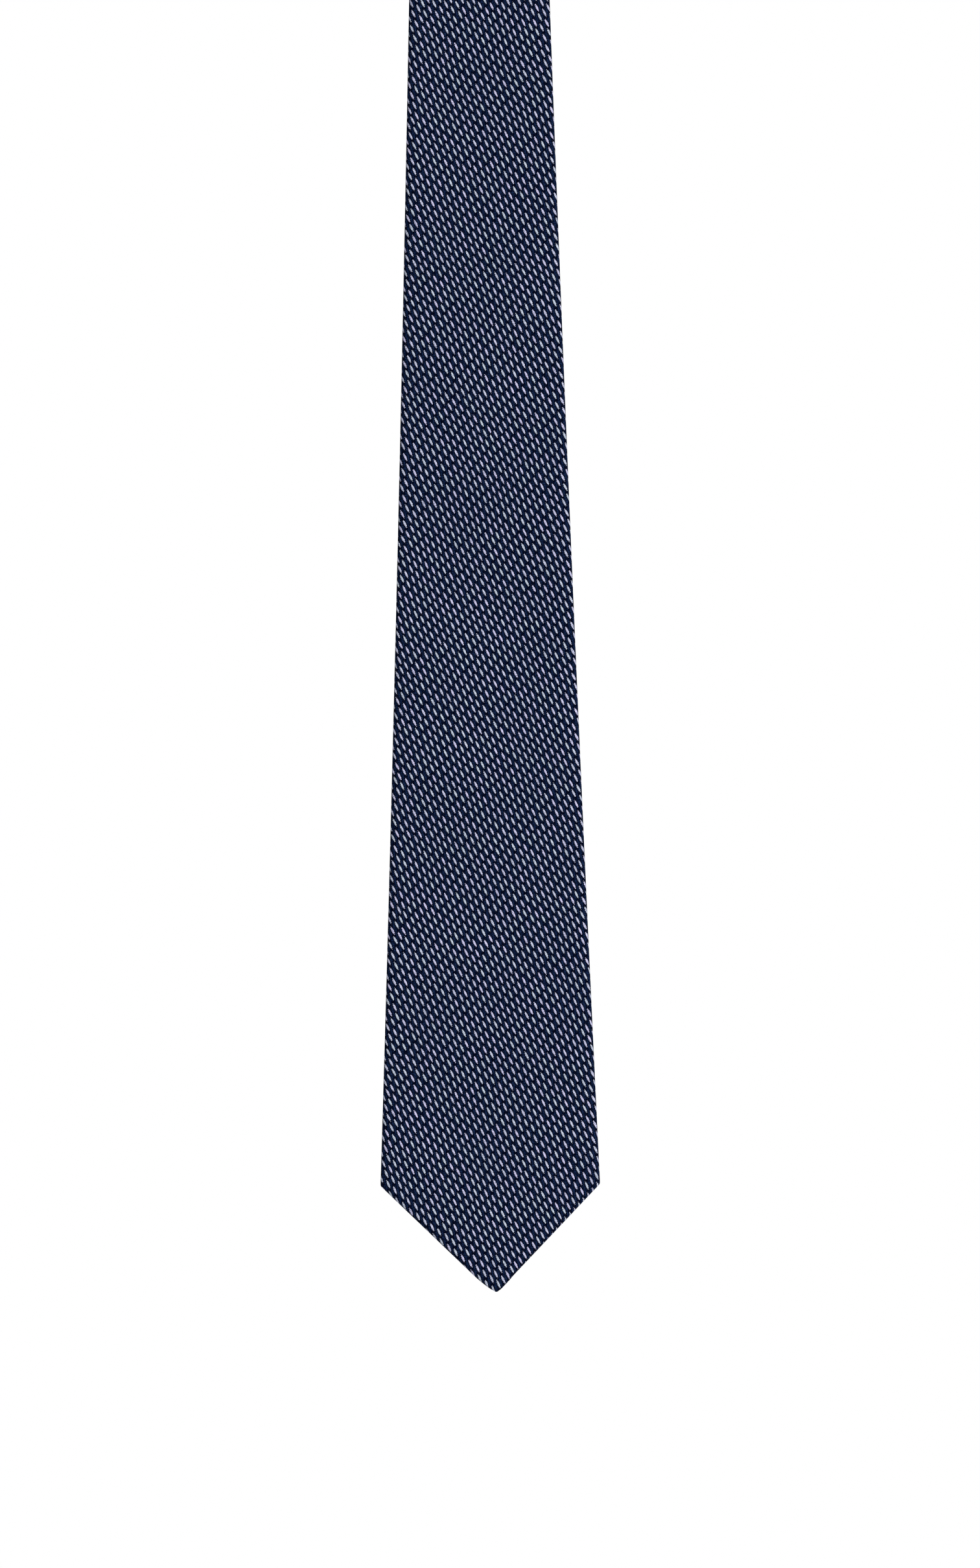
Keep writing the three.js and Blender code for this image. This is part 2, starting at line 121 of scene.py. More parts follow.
TAPER_CURVE = 0.4
ENDS = {
    "front": {
        "width": BLADE_WIDTH, "corner": 39.5 * MM, "taper": 860 * MM, "tip": 1.9 * MM,
        "bulge": 1.3 * MM, "hem": 9 * MM, "open": 158 * MM,
    },
    "tail": {
        "width": TAIL_WIDTH, "corner": 23 * MM, "taper": 480 * MM, "tip": 0.0,
        "bulge": 0.0, "hem": 7 * MM, "open": 78 * MM,
    },
}
LEFT_ROLL = 1.9                   # the left edge's roll is this much wider than the right one's
LEFT_RISE = 1.1                   # and rises this much more towards the face
EDGE_LEVEL = -0.15 * MM           # height of the middle of both edges' rolls
ROLL_SHARE = 0.42                 # the most of the half width that a roll takes near a tip
LEFT_ROLL_SHARE = 0.6
CORNER_SOFT = 0.45 * MM           # how much the corners of the blades are rounded off
BULGE_AT = 0.86                   # where the bulge of the left bevel is, from the corner to the tip
TURN_FROM = 0.1                   # the tie hangs straight for this far under the rail, then turns
LAP = 5 * MM
LAP_RUN = 14 * MM
LEAST_OPENING = 0.12 * MM
UNDER_LINING = 0.3 * MM           # from the middle of the lining to the inside of the flaps
TIP_ROUND = 0.12 * MM
SEAM_SLOPE = 1.0
BEND_REACH = 28 * MM              # how far each side of a joint the cloth takes to bend
TIPPING_RUN = 14 * MM

SECTIONS = [
    # name, start, end, slanted start, slanted end, body, and for a bend: second body and its joint
    ("blade_tip", 0.0, 235 * MM, False, False, ("front_lower",)),
    ("blade_fold", 235 * MM, 470 * MM, False, False, ("front_upper", "front_lower", FRONT_FOLD)),
    ("blade_top", 470 * MM, BLADE_SEAM, False, True, ("front_upper",)),
    ("neck_front", BLADE_SEAM, RAIL_TOP, True, False, ("neck", "front_upper", FRONT_LIFT)),
    ("neck_tail", RAIL_TOP, TAIL_SEAM, False, True, ("neck", "tail_upper", TAIL_LIFT)),
    ("tail_top", TAIL_SEAM, LENGTH - 280 * MM, True, False, ("tail_upper",)),
    ("tail_tip", LENGTH - 280 * MM, LENGTH, False, False, ("tail_upper", "tail_lower", TAIL_FOLD)),
]
SHELL_NODES = {
    "blade_tip": ["front_blade_shell_lower"],
    "blade_fold": ["front_blade_shell_lower", "front_blade_shell_upper"],
    "blade_top": ["front_blade_shell_upper"],
    "neck_front": ["neck_shell_front", "neck_shell_saddle"],
    "neck_tail": ["neck_shell_saddle", "neck_shell_tail"],
    "tail_top": ["tail_shell_upper"],
    "tail_tip": ["tail_shell_upper", "tail_shell_lower"],
}


def strip_nodes(kind):
    """The CAD's nodes of a strip that runs through the whole tie, for each section."""
    front_low, front_high = f"front_{kind}_lower", f"front_{kind}_upper"
    neck = f"neck_{kind}"
    tail_high, tail_low = f"tail_{kind}_upper", f"tail_{kind}_lower"
    return {
        "blade_tip": [front_low],
        "blade_fold": [front_low, front_high],
        "blade_top": [front_high],
        "neck_front": [front_high, neck],
        "neck_tail": [neck, tail_high],
        "tail_top": [tail_high],
        "tail_tip": [tail_high, tail_low],
    }


WOOL_NODES = strip_nodes("interlining")
STITCH_NODES = strip_nodes("slip_stitch")
# Each of the three cloths that make the envelope starts its pattern at its own place.
CLOTH_SHIFT = {"blade": (0.0, 0.0), "neck": (1.1 * MM, 1.7 * MM), "tail": (0.6 * MM, 2.9 * MM)}


class ClothSizes(bpy.types.PropertyGroup):
    thickness: FloatProperty(
        name="Cloth", description="Thickness of the silk",
        default=0.5 * MM, unit="LENGTH", precision=5,
    )
    hem_thickness: FloatProperty(
        name="Folded edge", description="Thickness of the silk at its turned edges",
        default=0.85 * MM, unit="LENGTH", precision=5,
    )
    roll: FloatProperty(
        name="Edge roll", description="Radius of the soft fold along the tie's right edge",
        default=1.25 * MM, unit="LENGTH", precision=5,
    )
    ripple: FloatProperty(
        name="Ripple", description="Height of the slow waves in the hanging cloth",
        default=0.45 * MM, unit="LENGTH", precision=5,
    )
    turn: FloatProperty(
        name="Turn", description="How far the front tip turns about the tie's middle line",
        default=math.radians(2.0), unit="ROTATION",
    )
    thread: FloatProperty(
        name="Thread", description="Radius of the sewing thread",
        default=0.2 * MM, unit="LENGTH", precision=5,
    )
    stitch: FloatProperty(
        name="Slip stitch", description="Distance from one slip stitch to the next",
        default=10 * MM, unit="LENGTH", precision=4,
    )


class WeaveLook(bpy.types.PropertyGroup):
    ground: FloatVectorProperty(
        name="Ground", description="Navy of the ground weave",
        subtype="COLOR", size=3, default=(0.0080, 0.0210, 0.0700), min=0, max=1,
    )
    deep: FloatVectorProperty(
        name="Deep ground", description="Dark navy between the yarns of the ground",
        subtype="COLOR", size=3, default=(0.0008, 0.0024, 0.0120), min=0, max=1,
    )
    # Painted shadow: the near-black navy painted round each dash stands in for the shade beside the
    # raised dash.
    outline: FloatVectorProperty(
        name="Outline", description="Near-black navy round each dash",
        subtype="COLOR", size=3, default=(0.0000, 0.0001, 0.0040), min=0, max=1,
    )
    dash: FloatVectorProperty(
        name="Dash", description="Pale lavender of the dashes",
        subtype="COLOR", size=3, default=(0.545, 0.555, 0.71), min=0, max=1,
    )
    dash_shade: FloatVectorProperty(
        name="Dash shade", description="Colour between the yarns of a dash",
        subtype="COLOR", size=3, default=(0.20, 0.22, 0.32), min=0, max=1,
    )
    dash_length: FloatProperty(
        name="Dash length", description="Length of a dash", default=2.98 * MM, unit="LENGTH", precision=5,
    )
    dash_width: FloatProperty(
        name="Dash width", description="Width of a dash", default=0.76 * MM, unit="LENGTH", precision=5,
    )
    lining: FloatVectorProperty(
        name="Lining", description="Colour of the tip linings",
        subtype="COLOR", size=3, default=(0.0040, 0.0078, 0.0260), min=0, max=1,
    )
    thread: FloatVectorProperty(
        name="Thread", description="Colour of the sewing thread",
        subtype="COLOR", size=3, default=(0.030, 0.046, 0.120), min=0, max=1,
    )


class StageLook(bpy.types.PropertyGroup):
    floor: FloatVectorProperty(
        name="Floor", description="Colour of the floor",
        subtype="COLOR", size=3, default=(0.82, 0.82, 0.83), min=0, max=1,
    )
    floor_drop: FloatProperty(
        name="Floor drop", description="From the front tip down to the floor",
        default=0.2, unit="LENGTH",
    )
    ambient: FloatProperty(
        name="Ambient", description="Strength of the light from all round", default=0.20,
    )
    view_height: FloatProperty(
        name="View height", description="Height of the piece of the tie that the camera sees",
        default=0.5745, unit="LENGTH",
    )
    below_tip: FloatProperty(
        name="Room below", description="Room under the tip in the camera's view",
        default=0.1011, unit="LENGTH",
    )
    tilt: FloatProperty(
        name="Tilt", description="How far the camera rolls", default=math.radians(0.53), unit="ROTATION",
    )
    distance: FloatProperty(
        name="Distance", description="From the camera to the tie", default=6.0, unit="LENGTH",
    )
    floor_size: FloatProperty(
        name="Floor size", description="Diameter of the round floor", default=3.4, unit="LENGTH",
    )
    steps: IntProperty(name="Floor steps", description="Sides of the round floor", default=96)


# ---- The tie's own coordinates ----


def smooth(value, low, high):
    """0 up to low and 1 from high on, with a soft slope between."""
    t = np.clip((np.asarray(value, float) - low) / (high - low), 0.0, 1.0)
    return t * t * (3 - 2 * t)


def lerp(a, b, t):
    """From a at t = 0 to b at t = 1, in a straight line."""
    return a + (b - a) * t


def ripple(s, x, height):
    """Slow waves in the cloth, which die out towards the rail and at the tips."""
    long_wave, cross_wave, short_wave, slant_wave = 0.171, 0.13, 0.094, 0.21
    wave = np.sin(2 * np.pi * s / long_wave + 1.3) * np.cos(2 * np.pi * x / cross_wave + 0.5)
    wave = wave + 0.6 * np.sin(2 * np.pi * (s / short_wave + x / slant_wave) + 0.4)
    from_rail = np.maximum(FRONT_DROP - s, s - TAIL_START)
    full_height_from = 0.12
    return height * wave * smooth(from_rail, 0.0, full_height_from)


def hang(s, x, h):
    """Points of the row frame from the tie's coordinates."""
    sizes = bpy.context.scene.necktie_cloth
    s, x, h = np.broadcast_arrays(*(np.asarray(value, float) for value in (s, x, h)))
    radius = RADIUS + h + ripple(s, x, sizes.ripple)
    turn = np.clip((s - FRONT_DROP) / RADIUS, 0, math.pi)
    y = -radius * np.cos(turn)
    z = radius * np.sin(turn) + np.minimum(s - FRONT_DROP, 0) - np.maximum(s - TAIL_START, 0)
    y = y + x * math.tan(sizes.turn) * smooth(FRONT_DROP - s, TURN_FROM, FRONT_DROP)
    return np.stack([x, y, z], axis=-1)


def measure(s):
    """The tie's section at s: edges, middle line, free edges of the flaps and how far they lap."""
    s = np.asarray(s, float)
    near = s < RAIL_TOP
    d = np.maximum(np.where(near, s, LENGTH - s), 0.0)

    def of(key):
        return np.where(near, ENDS["front"][key], ENDS["tail"][key])

    corner, width, reach = of("corner"), of("width"), of("taper")
    left_over = np.clip(1 - (d - corner) / (reach - corner), 0, 1)
    share = TAPER_CURVE * left_over**2 + (1 - TAPER_CURVE) * left_over
    tapered = NECK_WIDTH / 2 + share * (width - NECK_WIDTH) / 2
    pointed = np.sqrt(d * d + 2 * d * TIP_ROUND) * (width / 2) / corner
    gap = np.clip(0.5 + (pointed - tapered) / (2 * CORNER_SOFT), 0, 1)
    half = lerp(pointed, tapered, gap) - CORNER_SOFT * gap * (1 - gap)
    below = np.clip(1 - d / corner, 0, 1)
    centre = of("tip") * below
    bulge = of("bulge") * np.minimum(below / BULGE_AT, np.clip((1 - below) / (1 - BULGE_AT), 0, 1))
    left = centre - half - bulge * np.minimum(1, half / (2 * MM))
    right = centre + half
    hem, opening = of("hem"), of("open")
    wide = np.where(
        d < corner,
        half - hem,
        (width / 2 - hem) * (1 - (d - corner) / (opening - corner)),
    )
    wide = np.clip(wide, LEAST_OPENING, half)
    lap = LAP * smooth(d, opening, opening + LAP_RUN)
    opened = d < opening
    outer = np.where(opened, centre - wide, lap)
    inner = np.where(opened, centre + wide, -lap)
    lift = smooth(d, opening - LAP_RUN, opening)
    return {
        "left": left, "right": right, "centre": centre, "half": half,
        "outer": outer, "inner": inner, "lift": lift,
    }


def flap_levels(m, cloth):
    """The heights of the middle of the silk in the outer and the inner flap."""
    inner = LINING_LEVEL - UNDER_LINING - cloth / 2 + m["lift"] * 0.05 * MM
    outer = lerp(inner, BACK + cloth / 2, m["lift"])
    return outer, inner


FACE_STEPS, ROLL_STEPS, FLAP_STEPS = 34, 8, 20


def envelope_lines(s):
    """The middle of the silk at each s, from the outer flap's free edge round the face to the inner
    flap's: x, h, and the distance along the unfolded cloth from the middle of the face."""
    sizes = bpy.context.scene.necktie_cloth
    m = {key: np.asarray(value)[:, None] for key, value in measure(s).items()}
    roll = np.minimum(sizes.roll, ROLL_SHARE * m["half"])
    face_level = FACE - sizes.thickness / 2
    outer_level, inner_level = flap_levels(m, sizes.thickness)
    flap = np.linspace(0, 1, FLAP_STEPS)[None, :] ** 0.8
    arc = np.linspace(-np.pi / 2, np.pi / 2, ROLL_STEPS + 2)[None, 1:-1]
    across = np.linspace(-1, 1, FACE_STEPS)[None, :]

    wide_roll = np.minimum(roll * LEFT_ROLL, LEFT_ROLL_SHARE * m["half"])
    start = m["left"] + wide_roll
    x_outer = lerp(m["outer"], start, flap)
    h_outer = lerp(outer_level, EDGE_LEVEL - roll, smooth(flap, 0.35, 1.0))
    x_left = start - wide_roll * np.cos(arc)
    h_left = EDGE_LEVEL + roll * np.sin(arc) * np.where(arc > 0, LEFT_RISE, 1.0)
    x_face = lerp(start, m["right"] - roll, (across + 1) / 2)
    crown = 1 - np.abs(across) ** 5
    rise = roll * lerp(LEFT_RISE, 1.0, smooth(across, -1, 1))
    filled = np.minimum(1, m["half"] / (6 * MM))
    h_face = lerp(EDGE_LEVEL + rise, face_level, crown * filled)
    x_right = m["right"] - roll + roll * np.cos(arc)
    h_right = EDGE_LEVEL - roll * np.sin(arc)
    x_inner = lerp(m["right"] - roll, m["inner"], 1 - flap[:, ::-1])
    h_inner = lerp(EDGE_LEVEL - roll, inner_level, 1 - smooth(flap[:, ::-1], 0.35, 1.0))
    x = np.concatenate([x_outer, x_left, x_face, x_right, x_inner], axis=1)
    h = np.concatenate([h_outer, h_left, h_face, h_right, h_inner], axis=1)
    steps = np.hypot(np.diff(x, axis=1), np.diff(h, axis=1))
    along = np.concatenate([np.zeros((len(x), 1)), np.cumsum(steps, axis=1)], axis=1)
    face = FLAP_STEPS + ROLL_STEPS + FACE_STEPS // 2
    unfolded = along - along[:, face : face + 1] + x[:, face : face + 1]
    return x, h, unfolded


def strip_area(m, margin, s):
    """The area of a strip that ends margin short of both edges of the tie."""
    width = 2 * (m["half"] - margin)
    return float(np.sum((width[1:] + width[:-1]) / 2 * np.diff(s)))


def cloth_places(s, x, unfolded):
    """Where points of the envelope lie on the flat cloth. The hems at the tips are mirrored about the
    bevelled edges that they are turned over."""
    near = s < RAIL_TOP
    d = np.where(near, s, LENGTH - s)
    over, along = unfolded.copy(), s.copy()
    turned = FLAP_STEPS + ROLL_STEPS // 2
    for here, end in ((near, ENDS["front"]), (~near, ENDS["tail"])):
        for way, columns in ((-1, slice(0, turned)), (1, slice(x.shape[1] - turned, None))):
            edge_x, edge_d = way * end["width"] / 2 - end["tip"], end["corner"]
            length = math.hypot(edge_x, edge_d)
            edge_x, edge_d = edge_x / length, edge_d / length
            from_x, from_d = x[:, columns] - end["tip"], d[:, columns]
            share = 2 * (from_x * edge_x + from_d * edge_d)
            mirrored_x = end["tip"] + share * edge_x - from_x
            mirrored_d = share * edge_d - from_d
            mirrored_s = np.where(here[:, columns], mirrored_d, LENGTH - mirrored_d)
            hem = here[:, columns] & (from_d < end["corner"])
            over[:, columns] = np.where(hem, mirrored_x, over[:, columns])
            along[:, columns] = np.where(hem, mirrored_s, along[:, columns])
    return np.stack([over, along], axis=-1)


def back_level(s, x):
    """The height of the back's outside at x."""
    sizes = bpy.context.scene.necktie_cloth
    m, x = measure(s), np.asarray(x)
    outer_level, _ = flap_levels(m, sizes.thickness)
    left, right = m["left"] + sizes.roll * LEFT_ROLL, m["right"] - sizes.roll
    on_outer = np.clip((x - left) / (m["outer"] - left), 0, 1)
    on_inner = np.clip((right - x) / (right - m["inner"]), 0, 1)
    rise = np.maximum(
        smooth(1 - (1 - on_outer) ** 1.25, 0.0, 0.65) * (x < m["outer"]),
        smooth(on_inner, 0.0, 0.65) * (x >= m["outer"]),
    )
    return lerp(EDGE_LEVEL - sizes.roll, outer_level, rise) - sizes.thickness / 2


# ---- Meshes ----

LAYOUT_EDGE = 0.003               # room round each block on the sheet that a finish is kept on
RIM_BLOCK = 0.02                  # what the rim takes of that sheet
INSIDE_SHARE = 0.14               # what a side that lies against other cloth takes of it
SHARP = math.radians(60)          # an edge that turns more than this is shaded as an edge
THREAD_END = 0.45                 # a thread's ends are drawn in to this share of its radius
NEVER_ALONG = (0.0, 1.0, 0.05)    # a direction that no thread runs in


def link(name, mesh, material):
    """A new piece in the scene, with its one finish."""
    made = bpy.data.objects.new(name, mesh)
    bpy.context.scene.collection.objects.link(made)
    mesh.materials.append(material)
    return made


def distances(path):
    """How far along a path each of its points is."""
    return np.concatenate([[0.0], np.cumsum(np.linalg.norm(np.diff(path, axis=0), axis=-1))])


def flat_places(across, along):
    """Places on the flat cloth, from distances across and along it."""
    return np.stack(np.broadcast_arrays(across, along), axis=-1)


def finish_mesh(name, points, faces, places, material, layout=None):
    """A closed, smoothly shaded mesh. places holds each point's place on the cloth, in metres, and
    layout each face corner's place on the sheet that the finish is kept on, from 0 to 1."""
    mesh = bpy.data.meshes.new(name)
    mesh.from_pydata(points.tolist(), [], faces)
    layer = mesh.uv_layers.new(name="Cloth")
    corners = np.empty(len(mesh.loops), int)
    mesh.loops.foreach_get("vertex_index", corners)
    layer.data.foreach_set("uv", (places[corners] / MM).astype(np.float32).ravel())
    if layout is not None:
        kept = mesh.uv_layers.new(name="OFBake")
        kept.data.foreach_set("uv", layout.astype(np.float32).ravel())
    work = bmesh.new()
    work.from_mesh(mesh)
    bmesh.ops.recalc_face_normals(work, faces=work.faces)
    work.to_mesh(mesh)
    work.free()
    mesh.shade_smooth()
    mesh.set_sharp_from_angle(angle=SHARP)
    return link(name, mesh, material)


def grid_faces(rows, columns, base=0):
    """The numbers of a grid's points, from base, and its four-sided faces."""
    index = base + np.arange(rows * columns).reshape(rows, columns)
    quads = np.stack([index[:-1, :-1], index[:-1, 1:], index[1:, 1:], index[1:, :-1]], axis=-1)
    return index, quads.reshape(-1, 4).tolist()


def side_blocks(surface, above):
    """Lays the two sides of a sheet and its rim out beside each other, each row at full width."""
    steps = np.linalg.norm(np.diff(surface, axis=1), axis=-1)
    u = np.concatenate([np.zeros((len(surface), 1)), np.cumsum(steps, axis=1)], axis=1)
    u /= np.maximum(u[:, -1:], 1e-9)
    rows = np.linalg.norm(np.diff(surface, axis=0), axis=-1).mean(axis=1)
    v = np.concatenate([[0.0], np.cumsum(rows)])[:, None] / rows.sum()
    v = LAYOUT_EDGE + (1 - 2 * LAYOUT_EDGE) * v + 0 * u
    width = 1 - RIM_BLOCK
    first = LAYOUT_EDGE + u * (above * width - 2 * LAYOUT_EDGE)
    second = above * width + LAYOUT_EDGE + u * ((1 - above) * width - 2 * LAYOUT_EDGE)
    return np.stack([first, v], axis=-1), np.stack([second, v], axis=-1)


def cloth_piece(name, surface, thickness, places, material, above=0.5):
    """A closed sheet whose middle is a grid of points, as thick as thickness says at each. above is
    the share of the finish's sheet that its upper side takes."""
    rows, columns = surface.shape[:2]
    down = np.gradient(surface, axis=0)
    side = np.gradient(surface, axis=1)
    normal = np.cross(down, side)
    normal /= np.maximum(np.linalg.norm(normal, axis=-1, keepdims=True), 1e-12)
    offset = normal * np.broadcast_to(thickness, (rows, columns))[..., None] / 2
    points = np.concatenate([(surface + offset).reshape(-1, 3), (surface - offset).reshape(-1, 3)])
    top, faces = grid_faces(rows, columns)
    _, more = grid_faces(rows, columns, rows * columns)
    faces += more
    rim = np.concatenate([top[0], top[1:, -1], top[-1, -2::-1], top[-2:0:-1, 0]])
    lower = rim + rows * columns
    after, lower_after = np.roll(rim, -1), np.roll(lower, -1)
    faces += np.stack([rim, after, lower_after, lower], axis=-1).tolist()
    both = np.concatenate([places.reshape(-1, 2)] * 2)
    blocks = np.concatenate([block.reshape(-1, 2) for block in side_blocks(surface, above)])
    sides = blocks[np.array(faces[: -len(rim)])].reshape(-1, 2)
    run = np.arange(len(rim)) / len(rim)
    near, far = 1 - RIM_BLOCK + LAYOUT_EDGE, 1 - LAYOUT_EDGE
    strip = [[(near, v), (near, v + 1 / len(rim)), (far, v + 1 / len(rim)), (far, v)] for v in run]
    layout = np.concatenate([sides, np.array(strip).reshape(-1, 2)])
    return finish_mesh(name, points, faces, both, material, layout)


def tube_piece(name, paths, radius, material, sides=8):
    """Round threads along paths, closed at both ends and drawn in a little there."""
    points, faces, places = [], [], []
    for path in paths:
        path = np.asarray(path, float)
        heading = np.gradient(path, axis=0)
        heading /= np.maximum(np.linalg.norm(heading, axis=1, keepdims=True), 1e-12)
        side = np.cross(heading, NEVER_ALONG)
        side /= np.maximum(np.linalg.norm(side, axis=1, keepdims=True), 1e-12)
        up = np.cross(side, heading)
        turn = np.linspace(0, 2 * np.pi, sides, endpoint=False)
        thick = np.full(len(path), radius)
        thick[[0, -1]] *= THREAD_END
        ring = np.cos(turn)[None, :, None] * side[:, None]
        ring = ring + np.sin(turn)[None, :, None] * up[:, None]
        base = sum(len(block) for block in points)
        points.append((path[:, None] + ring * thick[:, None, None]).reshape(-1, 3))
        around = turn / (2 * np.pi) * MM
        places.append(flat_places(around[None, :], distances(path)[:, None]).reshape(-1, 2))
        index = base + np.arange(len(path) * sides).reshape(len(path), sides)
        after = np.roll(index, -1, axis=1)
        quads = np.stack([index[:-1], after[:-1], after[1:], index[1:]], axis=-1)
        faces += quads.reshape(-1, 4).tolist()
        faces += [index[0].tolist(), index[-1][::-1].tolist()]
    return finish_mesh(name, np.concatenate(points), faces, np.concatenate(places), material)


def fasten(piece, bodies, nodes):
    """Puts the piece on its body; a piece that lies across a joint between two bodies is left where it
    was built, on neither.
    """
    if len(bodies) == 1:
        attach(piece, bodies[0])
    else:
        fixed, moving, bend = bodies
        way = 1 if bend > RAIL_TOP else -1
        start, end = (hang(bend + way * reach, 0, 0) for reach in (-BEND_REACH, BEND_REACH))
        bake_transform(piece)
    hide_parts(*nodes)


# ---- Finishes ----


class Value:
    """A socket of a finish, with arithmetic that adds Math nodes."""

    def __init__(self, finish, socket):
        self.finish = finish
        self.socket = socket

    def math(self, operation, *others, clamp=False):
        settings = {"operation": operation, "use_clamp": clamp}
        made = self.finish.node("ShaderNodeMath", settings, [self, *others])
        return Value(self.finish, made.outputs[0])

    def __add__(self, other):
        return self.math("ADD", other)

    def __radd__(self, other):
        return self.math("ADD", other)

    def __sub__(self, other):
        return self.math("SUBTRACT", other)

    def __rsub__(self, other):
        return (self * -1).math("ADD", other)

    def __mul__(self, other):
        return self.math("MULTIPLY", other)

    def __rmul__(self, other):
        return self.math("MULTIPLY", other)

    def __truediv__(self, other):
        return self.math("DIVIDE", other)

    def __pow__(self, other):
        return self.math("POWER", other)

    def __abs__(self):
        return self.math("ABSOLUTE")

    def fraction(self):
        return self.math("FRACT")

    def floor(self):
        return self.math("FLOOR")

    def kept(self):
        """The value, kept from 0 to 1."""
        return self.math("ADD", 0.0, clamp=True)

    def wave(self):
        """A sine of the value in whole turns, from 0 to 1."""
        return (self * (2 * math.pi)).math("SINE") * 0.5 + 0.5

    def step(self, low, high):
        """0 at low and 1 at high, smoothly."""
        settings = {"interpolation_type": "SMOOTHSTEP", "clamp": True}
        inputs = {"Value": self, "From Min": low, "From Max": high}
        made = self.finish.node("ShaderNodeMapRange", settings, inputs)
        return Value(self.finish, made.outputs[0])


class Finish:
    """The nodes of a new material or world."""

    def __init__(self, owner):
        self.owner = owner
        owner.use_nodes = True
        self.tree = owner.node_tree
        self.tree.nodes.clear()

    def node(self, kind, settings, inputs):
        """A node of that kind, with its settings first and then its sockets' values and links."""
        made = self.tree.nodes.new(kind)
        for key, value in settings.items():
            setattr(made, key, value)
        pairs = inputs.items() if isinstance(inputs, dict) else enumerate(inputs)
        for key, value in pairs:
            socket = made.inputs[key]
            if isinstance(value, Value):
                value = value.socket
            if isinstance(value, bpy.types.NodeSocket):
                self.tree.links.new(value, socket)
            elif socket.type == "RGBA":
                socket.default_value = (*value[:3], 1.0)
            else:
                socket.default_value = value
        return made

    def cloth_place(self):
        """Millimetres across and along the cloth."""
        uv = self.node("ShaderNodeUVMap", {"uv_map": "Cloth"}, {})
        parts = self.node("ShaderNodeSeparateXYZ", {}, [uv.outputs[0]])
        return Value(self, parts.outputs[0]), Value(self, parts.outputs[1])

    def vector(self, x, y, z=0.0):
        return self.node("ShaderNodeCombineXYZ", {}, [x, y, z]).outputs[0]

    def noise(self, x, y, scale, detail=2.0, z=0.0):
        """Soft noise from about 0 to 1."""
        inputs = {"Vector": self.vector(x, y, z), "Scale": scale, "Detail": detail}
        return Value(self, self.node("ShaderNodeTexNoise", {}, inputs).outputs[0])

    def chance(self, x, y):
        """A random number for each pair of whole numbers."""
        inputs = {"Vector": self.vector(x, y)}
        made = self.node("ShaderNodeTexWhiteNoise", {"noise_dimensions": "2D"}, inputs)
        return Value(self, made.outputs["Value"])

    def mix(self, share, first, second):
        """A colour between two, where share runs from 0 to 1."""
        inputs = {0: share, 6: first, 7: second}
        return self.node("ShaderNodeMix", {"data_type": "RGBA"}, inputs).outputs[2]

    def bump(self, height, distance, strength=1.0):
        """A relief whose height runs from 0 to 1 over distance, in metres."""
        inputs = {"Height": height, "Distance": distance, "Strength": strength}
        return self.node("ShaderNodeBump", {}, inputs).outputs[0]

    def surface(self, **inputs):
        """Ends a material with a surface whose sockets are named by the keywords."""
        named = {}
        for key, value in inputs.items():
            named[key.replace("_", " ").title().replace("Ior", "IOR")] = value
        made = self.node("ShaderNodeBsdfPrincipled", {}, named)
        self.node("ShaderNodeOutputMaterial", {"is_active_output": True}, [made.outputs[0]])
        return self.owner


# The repeat of the dashes, in millimetres across and along the tie, and how they lie.
REPEAT_A = (2.54, -1.97)
REPEAT_B = (0.90, -3.77)
DASH_LEAN = math.radians(25)
PICK_LEAN = math.radians(-62)
PICK = 0.44                       # from one yarn across a dash to the next
TWILL = 0.52                      # from one rib of the ground to the next
WANDER = (1.7, 2.0)               # how far the whole pattern drifts in and out of line
STRAY = (0.26, 0.34)              # and how far each dash lies off its place


def scaled(colour, *shares):
    """A colour made stronger or weaker, by one share or by one for each of red, green and blue."""
    shares = shares * 3 if len(shares) == 1 else shares
    return tuple(part * share for part, share in zip(colour, shares))


